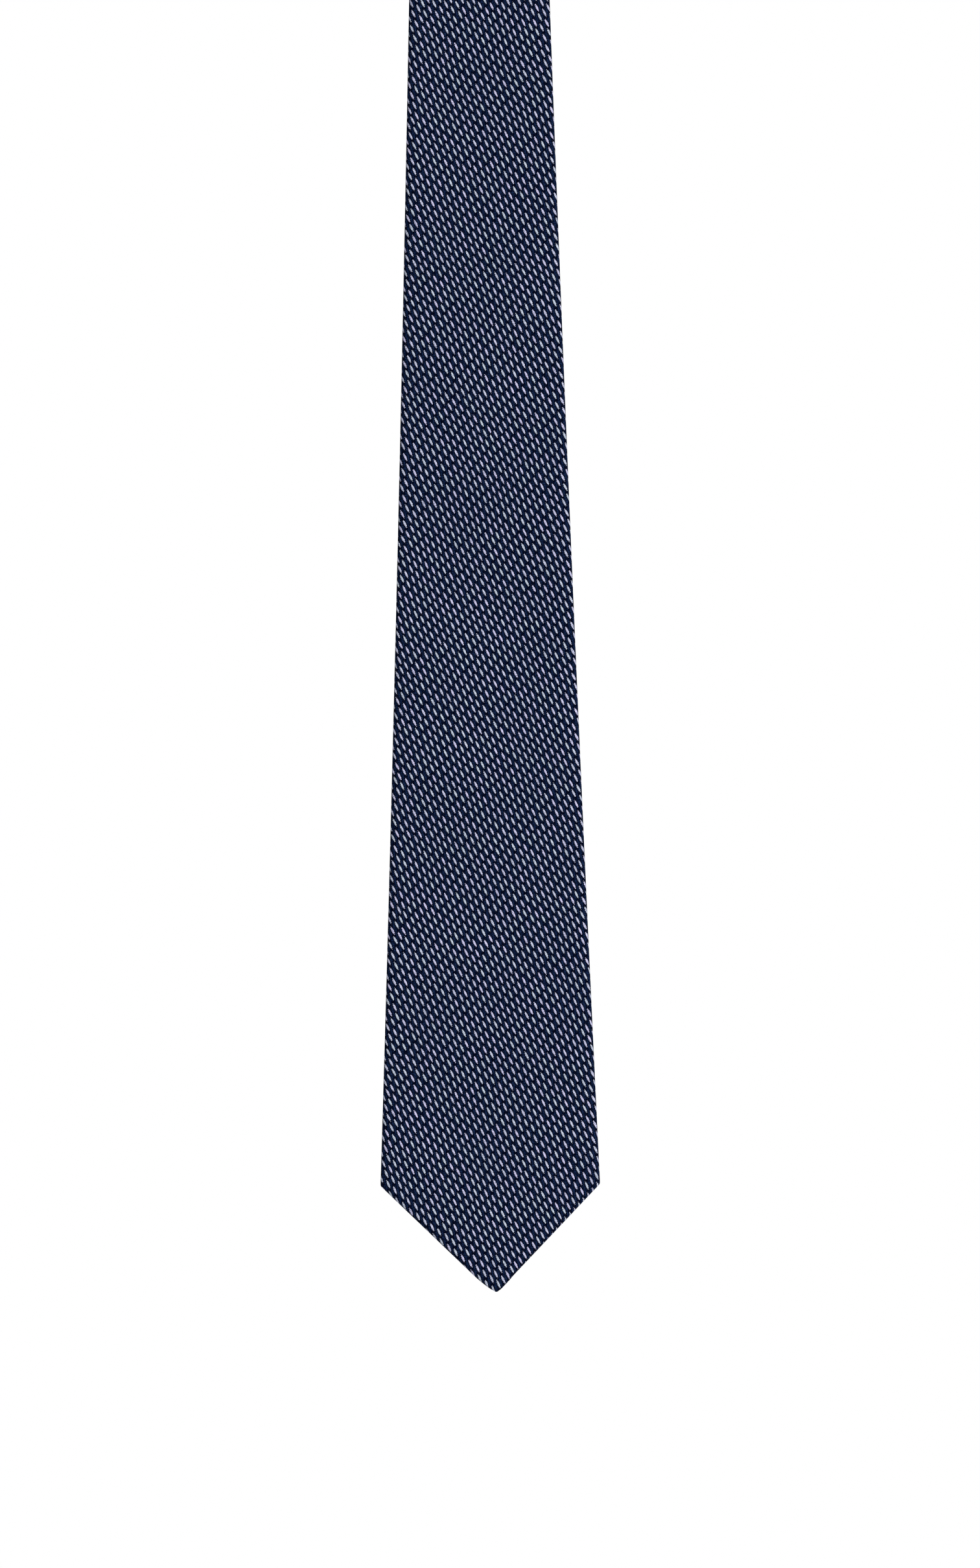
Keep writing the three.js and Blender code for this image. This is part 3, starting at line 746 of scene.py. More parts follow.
def silk(name, look, shift=(0.0, 0.0), turned=0.0):
    """Jacquard: pale satin dashes, each with a near-black shadow round it, on a navy twill."""
    finish = Finish(bpy.data.materials.new(name))
    across, along = finish.cloth_place()
    u = across * math.cos(turned) - along * math.sin(turned) + shift[0] / MM
    v = across * math.sin(turned) + along * math.cos(turned) + shift[1] / MM
    u, v = (
        u + (finish.noise(u, v, 0.028, 1.0) - 0.5) * WANDER[0],
        v + (finish.noise(u, v, 0.024, 1.0, z=7.0) - 0.5) * WANDER[1],
    )
    (ax, ay), (bx, by) = REPEAT_A, REPEAT_B
    cell = ax * by - ay * bx
    i = (u * by - v * bx) / cell
    j = (v * ax - u * ay) / cell
    away_i, away_j = i.fraction() - 0.5, j.fraction() - 0.5
    x = away_i * ax + away_j * bx
    y = away_i * ay + away_j * by
    dash_x, dash_y = math.sin(DASH_LEAN), -math.cos(DASH_LEAN)
    chance = finish.chance(i.floor(), j.floor())
    tint = finish.chance(i.floor() + 31, j.floor() + 17)
    x = x + (chance - 0.5) * STRAY[0]
    y = y + (tint - 0.5) * STRAY[1]
    run = abs(x * dash_x + y * dash_y) / (look.dash_length / MM / 2)
    wide = abs(x * dash_y - y * dash_x) / (look.dash_width / MM / 2)
    fray = (finish.noise(u, v, 3.0, 1.0, z=3.0) - 0.5) * 1.1
    pick = ((u * math.sin(PICK_LEAN) + v * math.cos(PICK_LEAN)) / PICK).wave()
    # 0 in the middle of a dash and about 1 at its edge, frayed and stepped by its yarns.
    shape = run ** 1.7 + wide ** 1.6 + fray + (chance - 0.5) * 0.14 + (pick - 0.5) * 0.6
    dash = 1 - shape.step(0.86, 1.08)
    # Painted shadow: a near-black ring round each dash, strongest next to it and fading out over the
    # ground.
    outline = 1 - shape.step(1.3, 3.4)
    path = abs(away_i).step(0.20, 0.46)
    twill = ((u * 0.62 + v * 0.78) / TWILL).wave()
    cross = ((u * 0.85 - v * 0.52) / TWILL).wave()
    speck = finish.noise(u, v, 2.2, 2.0)
    slow = finish.noise(u, v, 0.05, 2.0, z=11.0)
    grain = finish.noise(u, v, 2.4, 1.0, z=5.0)

    light = path * 0.45 + twill * 0.15 + cross * 0.10 + speck.step(0.40, 0.66) * 0.95 - 0.50
    ground = finish.mix(light.kept(), look.deep, look.ground)
    # The ground is painted near-black round each dash: painted shadow.
    ground = finish.mix((outline * 1.05).kept(), ground, look.outline)
    tone = pick * 0.35 + (grain - 0.5) * 3.2 + (chance - 0.5) * 0.3 + (slow - 0.5) * 0.5 + 0.52
    green, pink = scaled(look.dash, 0.93, 1.03, 0.92), scaled(look.dash, 1.05, 0.97, 1.08)
    yarn = finish.mix(tone.kept(), look.dash_shade, finish.mix(tint, green, pink))
    colour = finish.mix(dash, ground, yarn)
    dome = (1 - shape * 0.75).math("MAXIMUM", 0.0)
    height = dome * 0.75 + pick * dash * 0.10 + twill * (1 - dash) * 0.14 + cross * (1 - dash) * 0.08
    return finish.surface(
        base_color=colour,
        roughness=0.62 - dash * 0.16 + speck * 0.08,
        specular_ior_level=0.02,
        specular_tint=(0.55, 0.66, 1.0, 1.0),
        normal=finish.bump(height, 0.22 * MM, 0.85),
    )


def wool(name):
    """Brushed canvas: a loose cream weave with fibres lying over it."""
    finish = Finish(bpy.data.materials.new(name))
    u, v = finish.cloth_place()
    warp, weft = (u / 0.9).wave(), (v / 0.9).wave()
    fuzz = finish.noise(u * 1.8, v * 0.5, 1.6, 4.0)
    weave = warp * weft
    colour = finish.mix(weave * 0.5 + fuzz * 0.5, (0.50, 0.44, 0.33), (0.82, 0.77, 0.66))
    return finish.surface(
        base_color=colour,
        roughness=0.9 + fuzz * 0.08,
        specular_ior_level=0.2,
        sheen_weight=0.25,
        normal=finish.bump(weave * 0.6 + fuzz * 0.4, 0.35 * MM),
    )


def lining_twill(name, look):
    """Fine, close twill with a soft gloss; broad lighter and darker patches of painted sheen lie in its
    colour.
    """
    finish = Finish(bpy.data.materials.new(name))
    u, v = finish.cloth_place()
    rib = ((u + v) / 0.75).wave()
    yarn = ((u - v * 0.6) / 0.38).wave()
    uneven_and_sheen = finish.noise(u, v * 4, 0.22, 3.0)
    slow = finish.noise(u, v, 0.04, 2.0)
    # Painted sheen: the slow patches and the uneven streaks make the colour lighter and darker; the rib
    # and yarn terms are the twill's own pattern.
    shade = rib * 0.5 + yarn * 0.15 + (uneven_and_sheen - 0.3) * 0.5 + (slow - 0.4) * 0.7
    return finish.surface(
        base_color=finish.mix(shade.kept(), scaled(look.lining, 0.15), scaled(look.lining, 1.9)),
        roughness=0.42 + uneven_and_sheen * 0.14,
        specular_ior_level=0.12,
        specular_tint=(0.5, 0.6, 1.0, 1.0),
        normal=finish.bump(rib * 0.6 + yarn * 0.2 + uneven_and_sheen * 0.2, 0.10 * MM),
    )


def thread_twist(name, look):
    """Two-ply thread: dark grooves between the plies."""
    finish = Finish(bpy.data.materials.new(name))
    u, v = finish.cloth_place()
    ply = (u * 2 + v / 0.7).wave()
    fuzz = finish.noise(u * 4, v, 3.0, 2.0)
    shade = ply * 0.7 + fuzz * 0.3
    return finish.surface(
        base_color=finish.mix(shade, scaled(look.thread, 0.35), scaled(look.thread, 1.7)),
        roughness=0.5 + fuzz * 0.15,
        specular_ior_level=0.3,
        normal=finish.bump(ply, 0.08 * MM),
    )


def woven_label(name, width, height):
    """A close satin ribbon with a fine pale border and no lettering. Sizes are in millimetres."""
    finish = Finish(bpy.data.materials.new(name))
    u, v = finish.cloth_place()
    weft = (v / 0.34).wave()
    warp = (u / 0.5).wave()
    speck = finish.noise(u, v, 3.0, 2.0)
    inset_u = width / 2 - abs(u)
    inset_v = height / 2 - abs(v)
    inset = inset_u.math("MINIMUM", inset_v)
    broad_line, fine_line = 2.1, 3.0
    border = 1 - abs(inset - broad_line).step(0.18, 0.34)
    border = border + (1 - abs(inset - fine_line).step(0.08, 0.2)) * 0.7
    check = ((u + v) / 1.9).wave() * ((u - v) / 1.9).wave()
    inside = inset.step(fine_line + 0.4, fine_line + 0.8)
    shade = weft * 0.35 + speck * 0.3 + check * inside * 0.35
    ground = finish.mix(shade, (0.004, 0.007, 0.026), (0.020, 0.030, 0.085))
    silver = finish.mix(warp * 0.5 + speck * 0.5, (0.30, 0.31, 0.37), (0.62, 0.63, 0.70))
    return finish.surface(
        base_color=finish.mix(border.math("MINIMUM", 1.0), ground, silver),
        roughness=0.45 + speck * 0.12,
        specular_ior_level=0.12,
        normal=finish.bump(weft * 0.4 + border * 0.5 + check * inside * 0.2, 0.10 * MM),
    )


def satin_tape(name, width):
    """White satin tape: fine lengthwise yarns and a firmer selvedge at each side."""
    finish = Finish(bpy.data.materials.new(name))
    u, v = finish.cloth_place()
    yarn = (u / 0.28).wave()
    weft = (v / 0.45).wave()
    speck = finish.noise(u * 3, v * 0.4, 1.4, 3.0)
    selvedge = abs(u).step(width / 2 - 1.4, width / 2 - 1.1)
    shade = yarn * 0.3 + speck * 0.4 + weft * 0.1 + selvedge * 0.25
    return finish.surface(
        base_color=finish.mix(shade, (0.60, 0.61, 0.65), (0.88, 0.88, 0.90)),
        roughness=0.34 + speck * 0.16,
        specular_ior_level=0.4,
        normal=finish.bump(yarn * 0.4 + weft * 0.2 + selvedge * 0.4, 0.08 * MM),
    )


def floor_finish(look):
    """Matt, pale and very slightly mottled."""
    finish = Finish(bpy.data.materials.new("stage_floor"))
    place = finish.node("ShaderNodeNewGeometry", {}, {}).outputs["Position"]
    grain = finish.node("ShaderNodeTexNoise", {}, {"Vector": place, "Scale": 9.0, "Detail": 3.0})
    mottle = Value(finish, grain.outputs[0])
    pale = tuple(min(1.0, part * 1.04) for part in look.floor)
    return finish.surface(
        base_color=finish.mix(mottle, tuple(look.floor), pale),
        roughness=0.6 + mottle * 0.1,
        specular_ior_level=0.2,
    )


def shared(name, make, *arguments):
    """The finish of that name, made the first time it is asked for."""
    return bpy.data.materials.get(name) or make(name, *arguments)


def sewing_thread():
    """The finish of every thread."""
    return shared("thread", thread_twist, bpy.context.scene.necktie_weave)


# ---- Operators: one for each piece or group of like pieces ----


class NecktieOperator:
    """What all of the necktie's operators share."""

    bl_options = {"REGISTER", "UNDO"}


STATION_STEP = 3 * MM
ARC_STEP = 0.9 * MM               # finer over the rail
BEND_STEP = 1.5 * MM              # and where the tie bends
LEAST_STEP = 0.1 * MM
# More stations at these distances from a tip and from a corner, in millimetres.
NEAR_TIP = [0.12, 0.35, 0.7, 1.2, 1.8, 2.5, 3.4, 4.4, 5.6, 7.2]
NEAR_CORNER = [-1.6, -0.9, -0.4, 0, 0.5, 1.1, 1.9]
NEAR_SEAM = [0.3 * MM, 0.8 * MM, 1.5 * MM]


def stations(start, end):
    """Places along a section, closer together at the tips, where the edges turn."""
    count = max(2, round((end - start) / STATION_STEP) + 1)
    even = np.linspace(start, end, count)
    extra = list(np.arange(FRONT_DROP - STATION_STEP, TAIL_START + STATION_STEP, ARC_STEP))
    for fold in (FRONT_FOLD, FRONT_LIFT, TAIL_LIFT, TAIL_FOLD):
        extra += list(np.arange(fold - BEND_REACH, fold + BEND_REACH, BEND_STEP))
    for tip, way, corner in (
        (0.0, 1, ENDS["front"]["corner"]),
        (LENGTH, -1, ENDS["tail"]["corner"]),
    ):
        extra += [tip + way * d * MM for d in NEAR_TIP]
        extra += [tip + way * (corner + d * MM) for d in NEAR_CORNER]
    inside = [s for s in extra if start < s < end]
    between_tips = [s for s in even if LEAST_STEP < s < LENGTH - LEAST_STEP]
    ordered = sorted({round(float(s), 7) for s in [*between_tips, *inside]})
    ends = {ordered[0], ordered[-1]}
    kept = [ordered[0]]
    for s in ordered[1:]:
        if s - kept[-1] > LEAST_STEP:
            kept.append(s)
        elif s in ends:
            kept[-1] = s
    return np.array(kept)


def slanted(s, unfolded, start, end, slant_start, slant_end):
    """Moves stations so that a section's slanted end follows the grain of the cloth."""
    share = (s - start) / (end - start)
    slope = (share * slant_end + (1 - share) * slant_start) * SEAM_SLOPE
    return s[:, None] + slope[:, None] * unfolded


def seam_stations(start, end, slant_start, slant_end):
    """The stations of a section, with three more close to each sewn end for its turned edge."""
    more = [start + d for d in NEAR_SEAM] if slant_start else []
    more += [end - d for d in NEAR_SEAM] if slant_end else []
    return np.array(sorted([*stations(start, end), *more]))


def envelope_surface(start, end, slant_start, slant_end):
    """The silk's middle lines over one section: the stations, and s, x, h and the distance along the
    unfolded cloth at each point."""
    s = seam_stations(start, end, slant_start, slant_end)
    x, h, unfolded = envelope_lines(s)
    there = np.broadcast_to(s[:, None], x.shape).copy()
    rounds = 4                        # a slanted end settles in this many
    if slant_start or slant_end:
        for _ in range(rounds):
            there = slanted(s, unfolded, start, end, slant_start, slant_end)
            x, h, unfolded = (np.empty_like(x) for _ in range(3))
            for column in range(x.shape[1]):
                parts = envelope_lines(there[:, column])
                x[:, column], h[:, column], unfolded[:, column] = (part[:, column] for part in parts)
    return s, there, x, h, unfolded


HEM_FADE = (5 * MM, 7.5 * MM)     # from its edge, where the cloth goes from double to single
EDGE_FADE = (-0.1 * MM, 0.5 * MM)   # over which a free edge is rounded off
SEAM_FADE = (-0.2 * MM, 1.2 * MM)   # and over which a sewn end is


class NECKTIE_OT_envelope(NecktieOperator, bpy.types.Operator):
    """Fold the three silk cloths into the envelope, in sections along the tie, some of which lie across a
    joint
    """

    bl_idname = "necktie.envelope"
    bl_label = "Silk envelope"

    def execute(self, context):
        sizes, look = context.scene.necktie_cloth, context.scene.necktie_weave
        for name, start, end, slant_start, slant_end, bodies in SECTIONS:
            cut = name.split("_")[0]
            material = shared(f"silk_{cut}", silk, look, CLOTH_SHIFT[cut])
            s, there, x, h, unfolded = envelope_surface(start, end, slant_start, slant_end)
            surface = hang(there, x, h)
            edge = np.minimum(unfolded - unfolded[:, :1], unfolded[:, -1:] - unfolded)
            thick = lerp(sizes.hem_thickness, sizes.thickness, smooth(edge, *HEM_FADE))
            thick = thick * lerp(0.35, 1.0, smooth(edge, *EDGE_FADE))
            for is_seam, place in ((slant_start, start), (slant_end, end)):
                if is_seam:
                    from_seam = np.abs(s - place)[:, None]
                    thick = thick * lerp(0.3, 1.0, smooth(from_seam, *SEAM_FADE))
            half = np.asarray(measure(s)["half"])[:, None]
            thick = np.minimum(thick, 0.5 * half + 0.05 * MM)
            places = cloth_places(there, x, unfolded)
            piece = cloth_piece(f"silk_{name}", surface, thick, places, material, INSIDE_SHARE)
            fasten(piece, bodies, SHELL_NODES[name])
            width = float((unfolded[:, -1] - unfolded[:, 0]).max())
            length = float(there.max() - there.min())
        return {"FINISHED"}


class NECKTIE_OT_interlining(NecktieOperator, bpy.types.Operator):
    """Lay the wool interlining inside the envelope"""

    bl_idname = "necktie.interlining"
    bl_label = "Wool interlining"

    def execute(self, context):
        sizes = context.scene.necktie_cloth
        material = shared("wool_canvas", wool)
        short_by = 5 * MM                 # the wool ends this far from the tips
        for name, start, end, _, _, bodies in SECTIONS:
            low, high = max(start, short_by), min(end, LENGTH - short_by)
            s = stations(low, high)
            m = measure(s)
            margin = sizes.roll + 0.1 * MM
            across = np.linspace(0, 1, 25)[None, :]
            x = lerp((m["left"] + margin)[:, None], (m["right"] - margin)[:, None], across)
            edge = np.minimum(across, 1 - across) * 2 * m["half"][:, None]
            thick = WOOL * lerp(0.5, 0.96, smooth(edge, 0, 5 * MM))
            surface = hang(s[:, None], x, -0.08 * MM)
            places = flat_places(x, s[:, None])
            piece = cloth_piece(f"wool_{name}", surface, thick, places, material)
            fasten(piece, bodies, WOOL_NODES[name])
            width = float(2 * m["half"].max())
            area = strip_area(m, margin, s)
            float(high - low)
            min(area, width * float(high - low))
        return {"FINISHED"}


class NECKTIE_OT_tippings(NecktieOperator, bpy.types.Operator):
    """Line the two tips"""

    bl_idname = "necktie.tippings"
    bl_label = "Tip linings"

    def execute(self, context):
        look = context.scene.necktie_weave
        material = shared("twill_lining", lining_twill, look)
        for name, body in (("front", "front_lower"), ("tail", "tail_lower")):
            end = ENDS[name]
            d = np.linspace(3.5 * MM, end["open"] + TIPPING_RUN, 70)
            s = d if name == "front" else LENGTH - d
            m = measure(s)
            across = np.linspace(0, 1, 31)[None, :]
            margin = 1.9 * MM
            x = lerp((m["left"] + margin)[:, None], (m["right"] - margin)[:, None], across)
            reach = np.maximum(m["inner"] - m["centre"], 0.5 * MM)[:, None]
            opened = np.clip(1 - np.abs(x - m["centre"][:, None]) / reach, 0, 1)
            puff = 0.35 * MM * smooth(opened, 0, 0.5) * (1 - m["lift"][:, None])
            wave = np.sin(s[:, None] / (11 * MM) + x / (17 * MM)) * np.sin(x / (9 * MM) + 0.7)
            puff = puff * (1 + 0.55 * wave)
            surface = hang(s[:, None], x, LINING_LEVEL - puff)
            places = flat_places(x, s[:, None])
            piece = cloth_piece(f"lining_{name}", surface, 0.22 * MM, places, material, 1 - INSIDE_SHARE)
            fasten(piece, (body,), [f"{name}_tipping"])
            width = float(2 * (m["half"].max() - margin))
            area = strip_area(m, margin, d)
        return {"FINISHED"}


class NECKTIE_OT_slip_stitch(NecktieOperator, bpy.types.Operator):
    """Close the middle of the back with slip stitches along the outer flap's edge"""

    bl_idname = "necktie.slip_stitch"
    bl_label = "Slip stitches"

    def execute(self, context):
        sizes = context.scene.necktie_cloth
        material = sewing_thread()
        first = ENDS["front"]["open"] + LAP_RUN
        last = LENGTH - ENDS["tail"]["open"] - LAP_RUN
        for name, start, end, _, _, bodies in SECTIONS:
            low, high = max(start, first), min(end, last)
            s = np.linspace(low, high, max(8, int((high - low) / (1.25 * MM))))
            m = measure(s)
            _, inner_level = flap_levels(m, sizes.thickness)
            phase = (s / sizes.stitch) % 1
            out = smooth(phase, 0.36, 0.46) - smooth(phase, 0.56, 0.66)
            x = m["outer"] + lerp(-2.2 * MM, 1.3 * MM, out)
            h = inner_level - sizes.hem_thickness / 2 - sizes.thread * 0.9
            piece = tube_piece(f"slip_stitch_{name}", [hang(s, x, h)], sizes.thread, material)
            fasten(piece, bodies, STITCH_NODES[name])
        return {"FINISHED"}


class NECKTIE_OT_seam_threads(NecktieOperator, bpy.types.Operator):
    """Sew the three cloths end to end along the grain"""

    bl_idname = "necktie.seam_threads"
    bl_label = "Cloth seams"

    def execute(self, context):
        sizes = context.scene.necktie_cloth
        material = sewing_thread()
        for name, seam, body in (
            ("blade_seam_thread", BLADE_SEAM, "front_upper"),
            ("tail_seam_thread", TAIL_SEAM, "tail_upper"),
        ):
            _, there, x, h, _ = envelope_surface(seam - 20 * MM, seam, False, True)
            line = hang(there[-1], x[-1], h[-1])
            run = distances(line)
            fine = np.linspace(0, run[-1], int(run[-1] / (0.6 * MM)))
            path = np.stack([np.interp(fine, run, line[:, axis]) for axis in range(3)], axis=-1)
            piece = tube_piece(name + "_look", [path], sizes.thread * 0.8, material)
            fasten(piece, (body,), [name])
        return {"FINISHED"}


HEM_STITCH = 3.1 * MM             # from one hem stitch to the next
WHIP_OUT, WHIP_IN = 1.0 * MM, 0.7 * MM   # a stitch's two ends, from the edge that it goes over
WHIP_SLANT, WHIP_RISE = 0.9 * MM, 0.22 * MM


def whip(s, x, way, hem_thickness, cloth):
    """One stitch over a free edge: from the lining side, over the edge, and back into the flap."""
    t = np.linspace(0, 1, 7)
    along = s + t * WHIP_SLANT
    outer_level, inner_level = flap_levels(measure(along), cloth)
    flap = outer_level if way < 0 else inner_level
    on_flap = flap - hem_thickness / 2 + 0.1 * MM
    level = lerp(LINING_LEVEL - 0.35 * MM, on_flap, smooth(t, 0.2, 0.6))
    return hang(along, x + way * lerp(-WHIP_IN, WHIP_OUT, t), level - WHIP_RISE * np.sin(t * np.pi))


class NECKTIE_OT_hem_threads(NecktieOperator, bpy.types.Operator):
    """Sew the linings to the turned hems with small slanted stitches"""

    bl_idname = "necktie.hem_threads"
    bl_label = "Hem stitches"

    def execute(self, context):
        sizes = context.scene.necktie_cloth
        material = sewing_thread()
        for name, body in (("front", "front_lower"), ("tail", "tail_lower")):
            end = ENDS[name]
            first = (end["hem"] + 2 * MM) * end["corner"] / (end["width"] / 2)
            d = np.arange(first, end["open"] - 5 * MM, HEM_STITCH)
            for side, way, edge in (("left", -1, "outer"), ("right", 1, "inner")):
                paths = []
                for distance in d:
                    s = float(distance if name == "front" else LENGTH - distance)
                    x = float(measure(s)[edge])
                    paths.append(whip(s, x, way, sizes.hem_thickness, sizes.thickness))
                made = f"hem_stitches_{name}_{side}"
                piece = tube_piece(made, paths, sizes.thread * 0.8, material, sides=6)
                fasten(piece, (body,), [f"{name}_hem_thread_{side}"])
        return {"FINISHED"}


class NECKTIE_OT_bar_tacks(NecktieOperator, bpy.types.Operator):
    """Wind the bar tacks that hold the flaps together above the two openings"""

    bl_idname = "necktie.bar_tacks"
    bl_label = "Bar tacks"

    def execute(self, context):
        sizes = context.scene.necktie_cloth
        material = sewing_thread()
        for name, body, tail in (("front", "front_lower", False), ("tail", "tail_lower", True)):
            node = f"{name}_bar_tack"
            width = span(node, 0)
            s = station(middle(node, 2), tail)
            level = float(np.min(back_level(s, np.linspace(-width / 2, width / 2, 9))))
            t = np.linspace(0, 1, 360)
            turns = 15
            angle = 2 * np.pi * turns * t
            x = lerp(-width / 2, width / 2, t)
            wound = hang(s + 0.5 * MM * np.sin(angle), x, level - 0.25 * MM - 0.3 * MM * np.cos(angle))
            inside = width / 2 - 0.3 * MM
            core = hang(s, np.linspace(-inside, inside, 12), level - 0.2 * MM)
            run = np.linspace(0, 1, 10)
            sunk = level + lerp(-0.25 * MM, 0.25 * MM, run)
            ends = []
            for way in (-1, 1):
                ends.append(hang(s + way * run * MM, way * (width / 2 + run * 2.2 * MM), sunk))
            piece = tube_piece(f"{node}_look", [wound, core, *ends], sizes.thread * 1.05, material)
            fasten(piece, (body,), [node])
        return {"FINISHED"}


def end_stitches(places, way, reach, slant, lift):
    """Slanted stitches over the end of a band that lies on the back, one at each of the places. reach
    is how far from the middle they start and end, and lift how high they stand over the back."""
    t = np.linspace(0, 1, len(lift))
    x = way * lerp(*reach, t)
    paths = []
    for place in places:
        along = place + t * slant
        paths.append(hang(along, x, back_level(along, x) - lift))
    return paths


class NECKTIE_OT_keeper_loop(NecktieOperator, bpy.types.Operator):
    """Fold the keeper loop, bow it out for the tail and tack down its two feet"""

    bl_idname = "necktie.keeper_loop"
    bl_label = "Keeper loop"

    def execute(self, context):
        sizes, look = context.scene.necktie_cloth, context.scene.necktie_weave
        material = shared("silk_keeper", silk, look, (0.4 * MM, 0.9 * MM), math.radians(90))
        low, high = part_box("keeper_loop")
        width = high.z - low.z
        reach = (high.x - low.x) / 2
        foot = 5 * MM
        half_span = reach - foot
        cloth = 0.8 * MM
        s_low = station(low.z)
        x = np.concatenate([
            np.linspace(-reach, -half_span, 7)[:-1],
            half_span * np.sin(np.linspace(-np.pi / 2, np.pi / 2, 61)),
            np.linspace(half_span, reach, 7)[1:],
        ])
        across = np.linspace(0, 1, 21)
        arch = 1 - np.minimum(1, np.abs(x) / half_span) ** 4.2
        s = s_low + across[:, None] * width
        sag = 0.35 * MM * np.sin(across * np.pi)[:, None] * arch
        wobble = 0.3 * MM * np.sin(x / (9 * MM) + 1.0) * arch
        foot_level = back_level(s, x) - cloth / 2
        at_edge = back_level(s_low + width / 2, half_span) - cloth / 2
        base = np.where(np.abs(x) > half_span, foot_level, np.minimum(foot_level, at_edge))
        base = lerp(base, at_edge, arch)
        top = -RADIUS - high.y + cloth / 2
        level = lerp(base, top, arch) + sag
        surface = hang(s + wobble, x, level)
        edge = np.minimum(across, 1 - across)[:, None] * width
        thick = cloth * lerp(0.45, 1.0, smooth(edge, -0.2 * MM, 0.9 * MM))
        thick = thick * lerp(1.15, 1.0, smooth(edge, 2.2 * MM, 3.2 * MM))
        line = distances(np.stack([x, level.mean(0)], axis=-1))
        places = flat_places(line, s)
        piece = cloth_piece("keeper_band", surface, thick, places, material, 0.7)
        fasten(piece, ("front_lower",), ["keeper_loop"])
        thread = sewing_thread()
        t = np.linspace(0, 1, 9)
        over = cloth * (1 - np.clip((t - 0.78) / 0.22, 0, 1))
        lift = over + 0.1 * MM * np.sin(t * np.pi)
        starts = s_low + width * (0.14 + 0.18 * np.arange(5))
        ends = (half_span + 1.0 * MM, reach + 1.2 * MM)
        for side, way in (("left", -1), ("right", 1)):
            paths = end_stitches(starts, way, ends, 0.9 * MM, lift)
            tack = tube_piece(f"keeper_tack_{side}_look", paths, sizes.thread * 0.9, thread)
            fasten(tack, ("front_lower",), [f"keeper_tack_{side}"])
        return {"FINISHED"}


class NECKTIE_OT_label(NecktieOperator, bpy.types.Operator):
    """Sew the blank woven label across the back"""

    bl_idname = "necktie.label"
    bl_label = "Label"

    def execute(self, context):
        sizes = context.scene.necktie_cloth
        low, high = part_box("label")
        width, height = high.x - low.x, high.z - low.z
        material = shared("woven_label", woven_label, width / MM, height / MM)
        s0 = station(low.z) + height / 2
        u = np.linspace(-width / 2, width / 2, 65)[None, :]
        v = np.linspace(-height / 2, height / 2, 21)[:, None]
        between = 1 - (np.abs(u) / (width / 2)) ** 6
        puff = 0.45 * MM * between * np.cos(v / height * np.pi) ** 2
        puff = puff + 0.16 * MM * np.sin(u / (6.5 * MM)) * np.cos(v / (5 * MM)) * between
        cloth, clear = 0.3 * MM, 0.32 * MM
        base = np.minimum(back_level(s0 + v, u), back_level(s0, 4 * MM))
        level = base - cloth / 2 - clear - puff
        surface = hang(s0 + v, u, level)
        edge = np.minimum(width / 2 - np.abs(u), 3 * MM)
        thick = cloth * lerp(1.7, 1.0, smooth(edge, 1.6 * MM, 2.4 * MM))
        places = flat_places(-u, v)
        piece = cloth_piece("label_ribbon", surface, thick, places, material, 1 - INSIDE_SHARE)
        fasten(piece, ("front_lower",), ["label"])
        thread = sewing_thread()
        t = np.linspace(0, 1, 9)
        over = (clear + cloth * 1.4) * (1 - smooth(t, 0.6, 0.95))
        lift = over + 0.1 * MM + 0.1 * MM * np.sin(t * np.pi)
        starts = s0 - height / 2 + height * (0.09 + 0.137 * np.arange(7))
        ends = (width / 2 - 1.6 * MM, width / 2 + 0.6 * MM)
        for side, way in (("left", -1), ("right", 1)):
            paths = end_stitches(starts, way, ends, 0.8 * MM, lift)
            tack = tube_piece(f"label_stitches_{side}", paths, sizes.thread * 0.75, thread, sides=6)
            fasten(tack, ("front_lower",), [f"label_stitch_{side}"])
        return {"FINISHED"}


class NECKTIE_OT_care_tag(NecktieOperator, bpy.types.Operator):
    """Hang the blank care tag under the label"""

    bl_idname = "necktie.care_tag"
    bl_label = "Care tag"

    def execute(self, context):
        low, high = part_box("care_tag")
        width, height = high.x - low.x, high.z - low.z
        material = shared("satin_tape", satin_tape, width / MM)
        s_top = station(high.z)
        tucked = 4.2 * MM
        u = np.linspace(-width / 2, width / 2, 33)[None, :]
        run = np.linspace(-tucked, height, 52)[:, None]
        t = np.clip(run / height, 0, 1)
        curl = 1.9 * MM * t**2.4 + 0.35 * MM * np.sin(np.pi * t) * (1 - (2 * u / width) ** 2)
        curl = curl + 0.5 * MM * t**2 * (2 * u / width) ** 2
        s = s_top - run
        under = np.minimum(back_level(s, u), back_level(s_top, 4 * MM)) - 0.15 * MM
        hinge = -RADIUS - JOINTS["care_tag_flip"]["pos_m"][1]
        level = lerp(under, min(hinge, float(under.min())), smooth(run, -2 * MM, 0)) - curl
        surface = hang(s, u, level)
        edge = np.minimum(width / 2 - np.abs(u), 2 * MM)
        thick = 0.22 * MM * lerp(1.5, 1.0, smooth(edge, 1.0 * MM, 1.4 * MM))
        places = flat_places(u, run)
        piece = cloth_piece("care_tape", surface, thick, places, material)
        start, end = (hang(s_top - reach, 0, hinge) for reach in (-1.5 * MM, 3.5 * MM))
        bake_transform(piece)
        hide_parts("care_tag")
        return {"FINISHED"}


LIGHTS = [
    # name, place, size, power
    ("key", (2.1, -2.5, 0.5), 1.8, 100.0),
    ("fill", (-0.1, -2.8, 1.6), 1.8, 40.0),
    ("back", (0.5, 2.6, 0.5), 2.2, 64.0),
    ("back_fill", (-1.6, 2.2, -0.2), 2.0, 22.0),
]
FLOOR_RINGS = 6
CAMERA_SIDE = 1.26 * MM           # the camera stands this far right of the tie's middle line


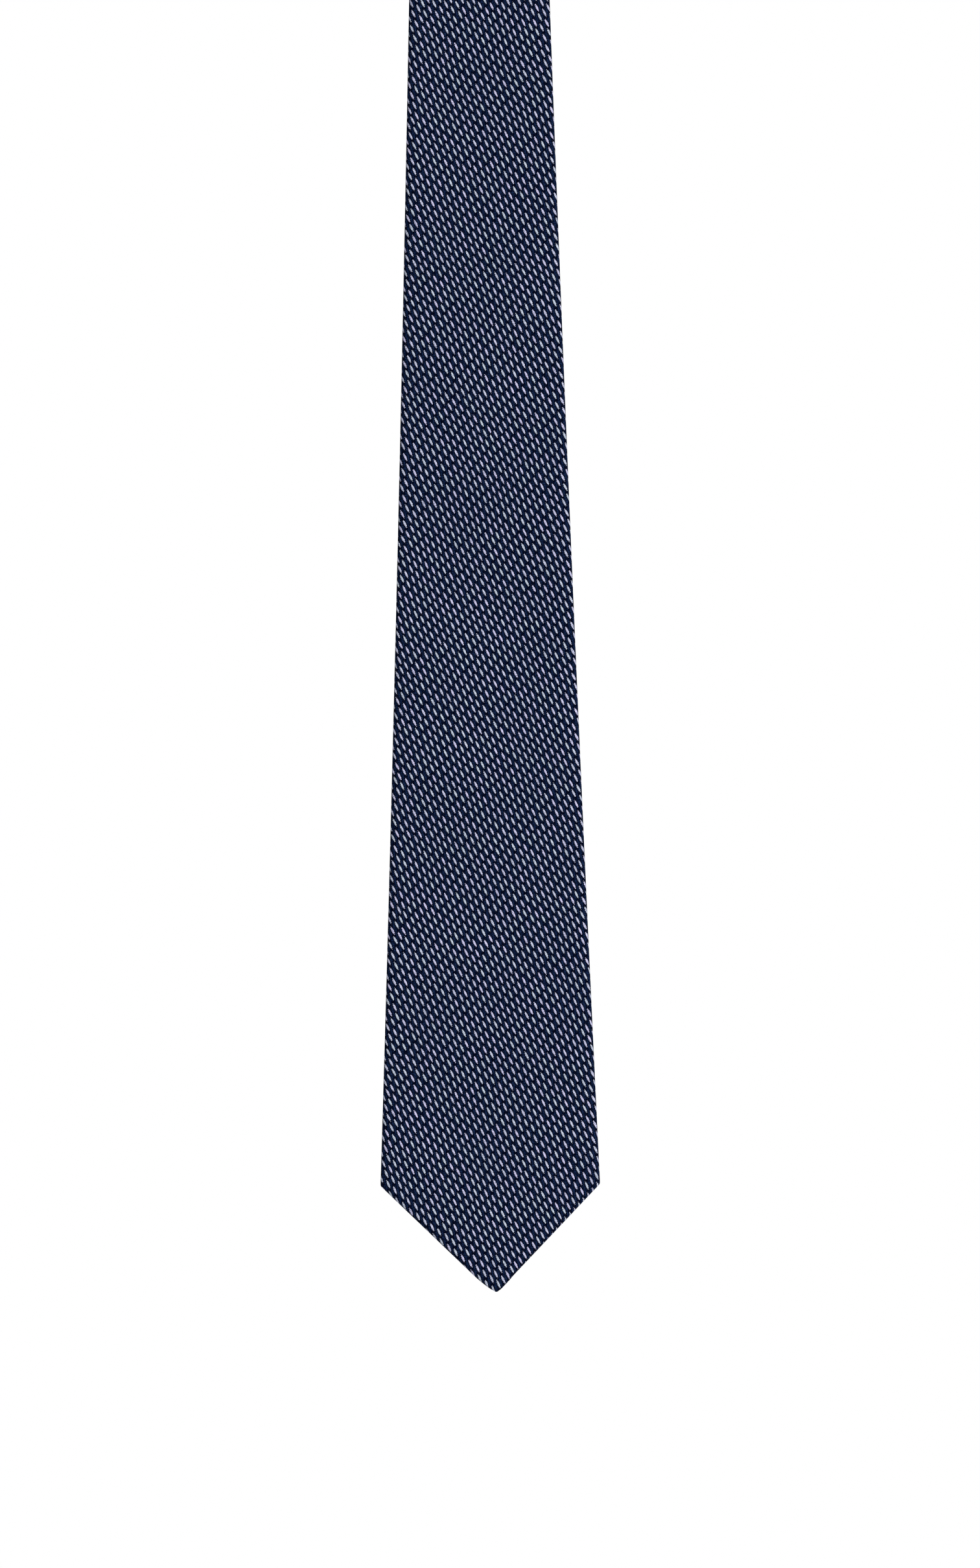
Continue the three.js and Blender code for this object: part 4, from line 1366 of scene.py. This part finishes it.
class NECKTIE_OT_stage(NecktieOperator, bpy.types.Operator):
    """Set the floor, the soft studio light and the camera"""

    bl_idname = "necktie.stage"
    bl_label = "Stage"

    def execute(self, context):
        look = context.scene.necktie_stage
        work = bmesh.new()
        rings = []
        for ring in range(1, FLOOR_RINGS + 1):
            radius = look.floor_size / 2 * ring / FLOOR_RINGS
            made = bmesh.ops.create_circle(work, segments=look.steps, radius=radius)
            rings.append(made["verts"])
        work.faces.new(rings[0])
        for inner, outer in zip(rings, rings[1:]):
            for k in range(look.steps):
                after = (k + 1) % look.steps
                work.faces.new((inner[k], outer[k], outer[after], inner[after]))
        mesh = bpy.data.meshes.new("stage_floor")
        work.to_mesh(mesh)
        work.free()
        floor = link("stage_floor", mesh, floor_finish(look))
        floor.location = (0, 0, -FRONT_DROP - look.floor_drop)

        aim = Vector((0, 0, -FRONT_DROP - look.below_tip + look.view_height / 2))
        for name, place, size, power in LIGHTS:
            data = bpy.data.lights.new(f"stage_{name}", "AREA")
            data.size = size
            data.energy = power
            lamp = bpy.data.objects.new(data.name, data)
            lamp.location = place
            lamp.rotation_euler = (aim - lamp.location).to_track_quat("-Z", "Y").to_euler()
            context.scene.collection.objects.link(lamp)

        data = bpy.data.cameras.new("stage_camera")
        data.lens = data.sensor_width * look.distance / look.view_height
        data.clip_end = 50
        camera = bpy.data.objects.new(data.name, data)
        camera.location = (CAMERA_SIDE, -look.distance - RADIUS, aim.z)
        camera.rotation_euler = Euler((math.pi / 2, look.tilt, 0))
        context.scene.collection.objects.link(camera)
        context.scene.camera = camera
        self.light_all_round(context.scene, look)
        context.scene.view_settings.view_transform = "Standard"
        return {"FINISHED"}

    def light_all_round(self, scene, look):
        """Soft light from everywhere, in front of plain white."""
        finish = Finish(bpy.data.worlds.new("stage_world"))
        scene.world = finish.owner
        white = (1.0, 1.0, 1.0)
        seen = finish.node("ShaderNodeLightPath", {}, {}).outputs["Is Camera Ray"]
        soft = finish.node("ShaderNodeBackground", {}, {"Color": white, "Strength": look.ambient})
        behind = finish.node("ShaderNodeBackground", {}, {"Color": white})
        mixed = finish.node("ShaderNodeMixShader", {}, [seen, soft.outputs[0], behind.outputs[0]])
        finish.node("ShaderNodeOutputWorld", {}, [mixed.outputs[0]])


PIECE_OPERATORS = (
    NECKTIE_OT_stage, NECKTIE_OT_envelope, NECKTIE_OT_interlining, NECKTIE_OT_tippings,
    NECKTIE_OT_slip_stitch, NECKTIE_OT_seam_threads, NECKTIE_OT_hem_threads, NECKTIE_OT_bar_tacks,
    NECKTIE_OT_keeper_loop, NECKTIE_OT_label, NECKTIE_OT_care_tag,
)


class NECKTIE_PT_panel(bpy.types.Panel):
    """The necktie's sizes, colours and pieces"""

    bl_idname = "NECKTIE_PT_panel"
    bl_label = "Necktie"
    bl_space_type = "VIEW_3D"
    bl_region_type = "UI"
    bl_category = "Necktie"

    def draw(self, context):
        for group in ("necktie_cloth", "necktie_weave", "necktie_stage"):
            box = self.layout.box()
            values = getattr(context.scene, group)
            for name in values.bl_rna.properties.keys():
                if name not in ("rna_type", "name"):
                    box.prop(values, name)
        for operator in PIECE_OPERATORS:
            self.layout.operator(operator.bl_idname)


GROUPS = {"necktie_cloth": ClothSizes, "necktie_weave": WeaveLook, "necktie_stage": StageLook}


def register():
    for name, group in GROUPS.items():
        bpy.utils.register_class(group)
        setattr(bpy.types.Scene, name, PointerProperty(type=group))
    for operator in PIECE_OPERATORS:
        bpy.utils.register_class(operator)
    bpy.utils.register_class(NECKTIE_PT_panel)


def unregister():
    bpy.utils.unregister_class(NECKTIE_PT_panel)
    for operator in reversed(PIECE_OPERATORS):
        bpy.utils.unregister_class(operator)
    for name, group in GROUPS.items():
        delattr(bpy.types.Scene, name)
        bpy.utils.unregister_class(group)


def main():
    register()
    for operator in PIECE_OPERATORS:
        group, name = operator.bl_idname.split(".")
        getattr(getattr(bpy.ops, group), name)()


if __name__ == "__main__":
    main()
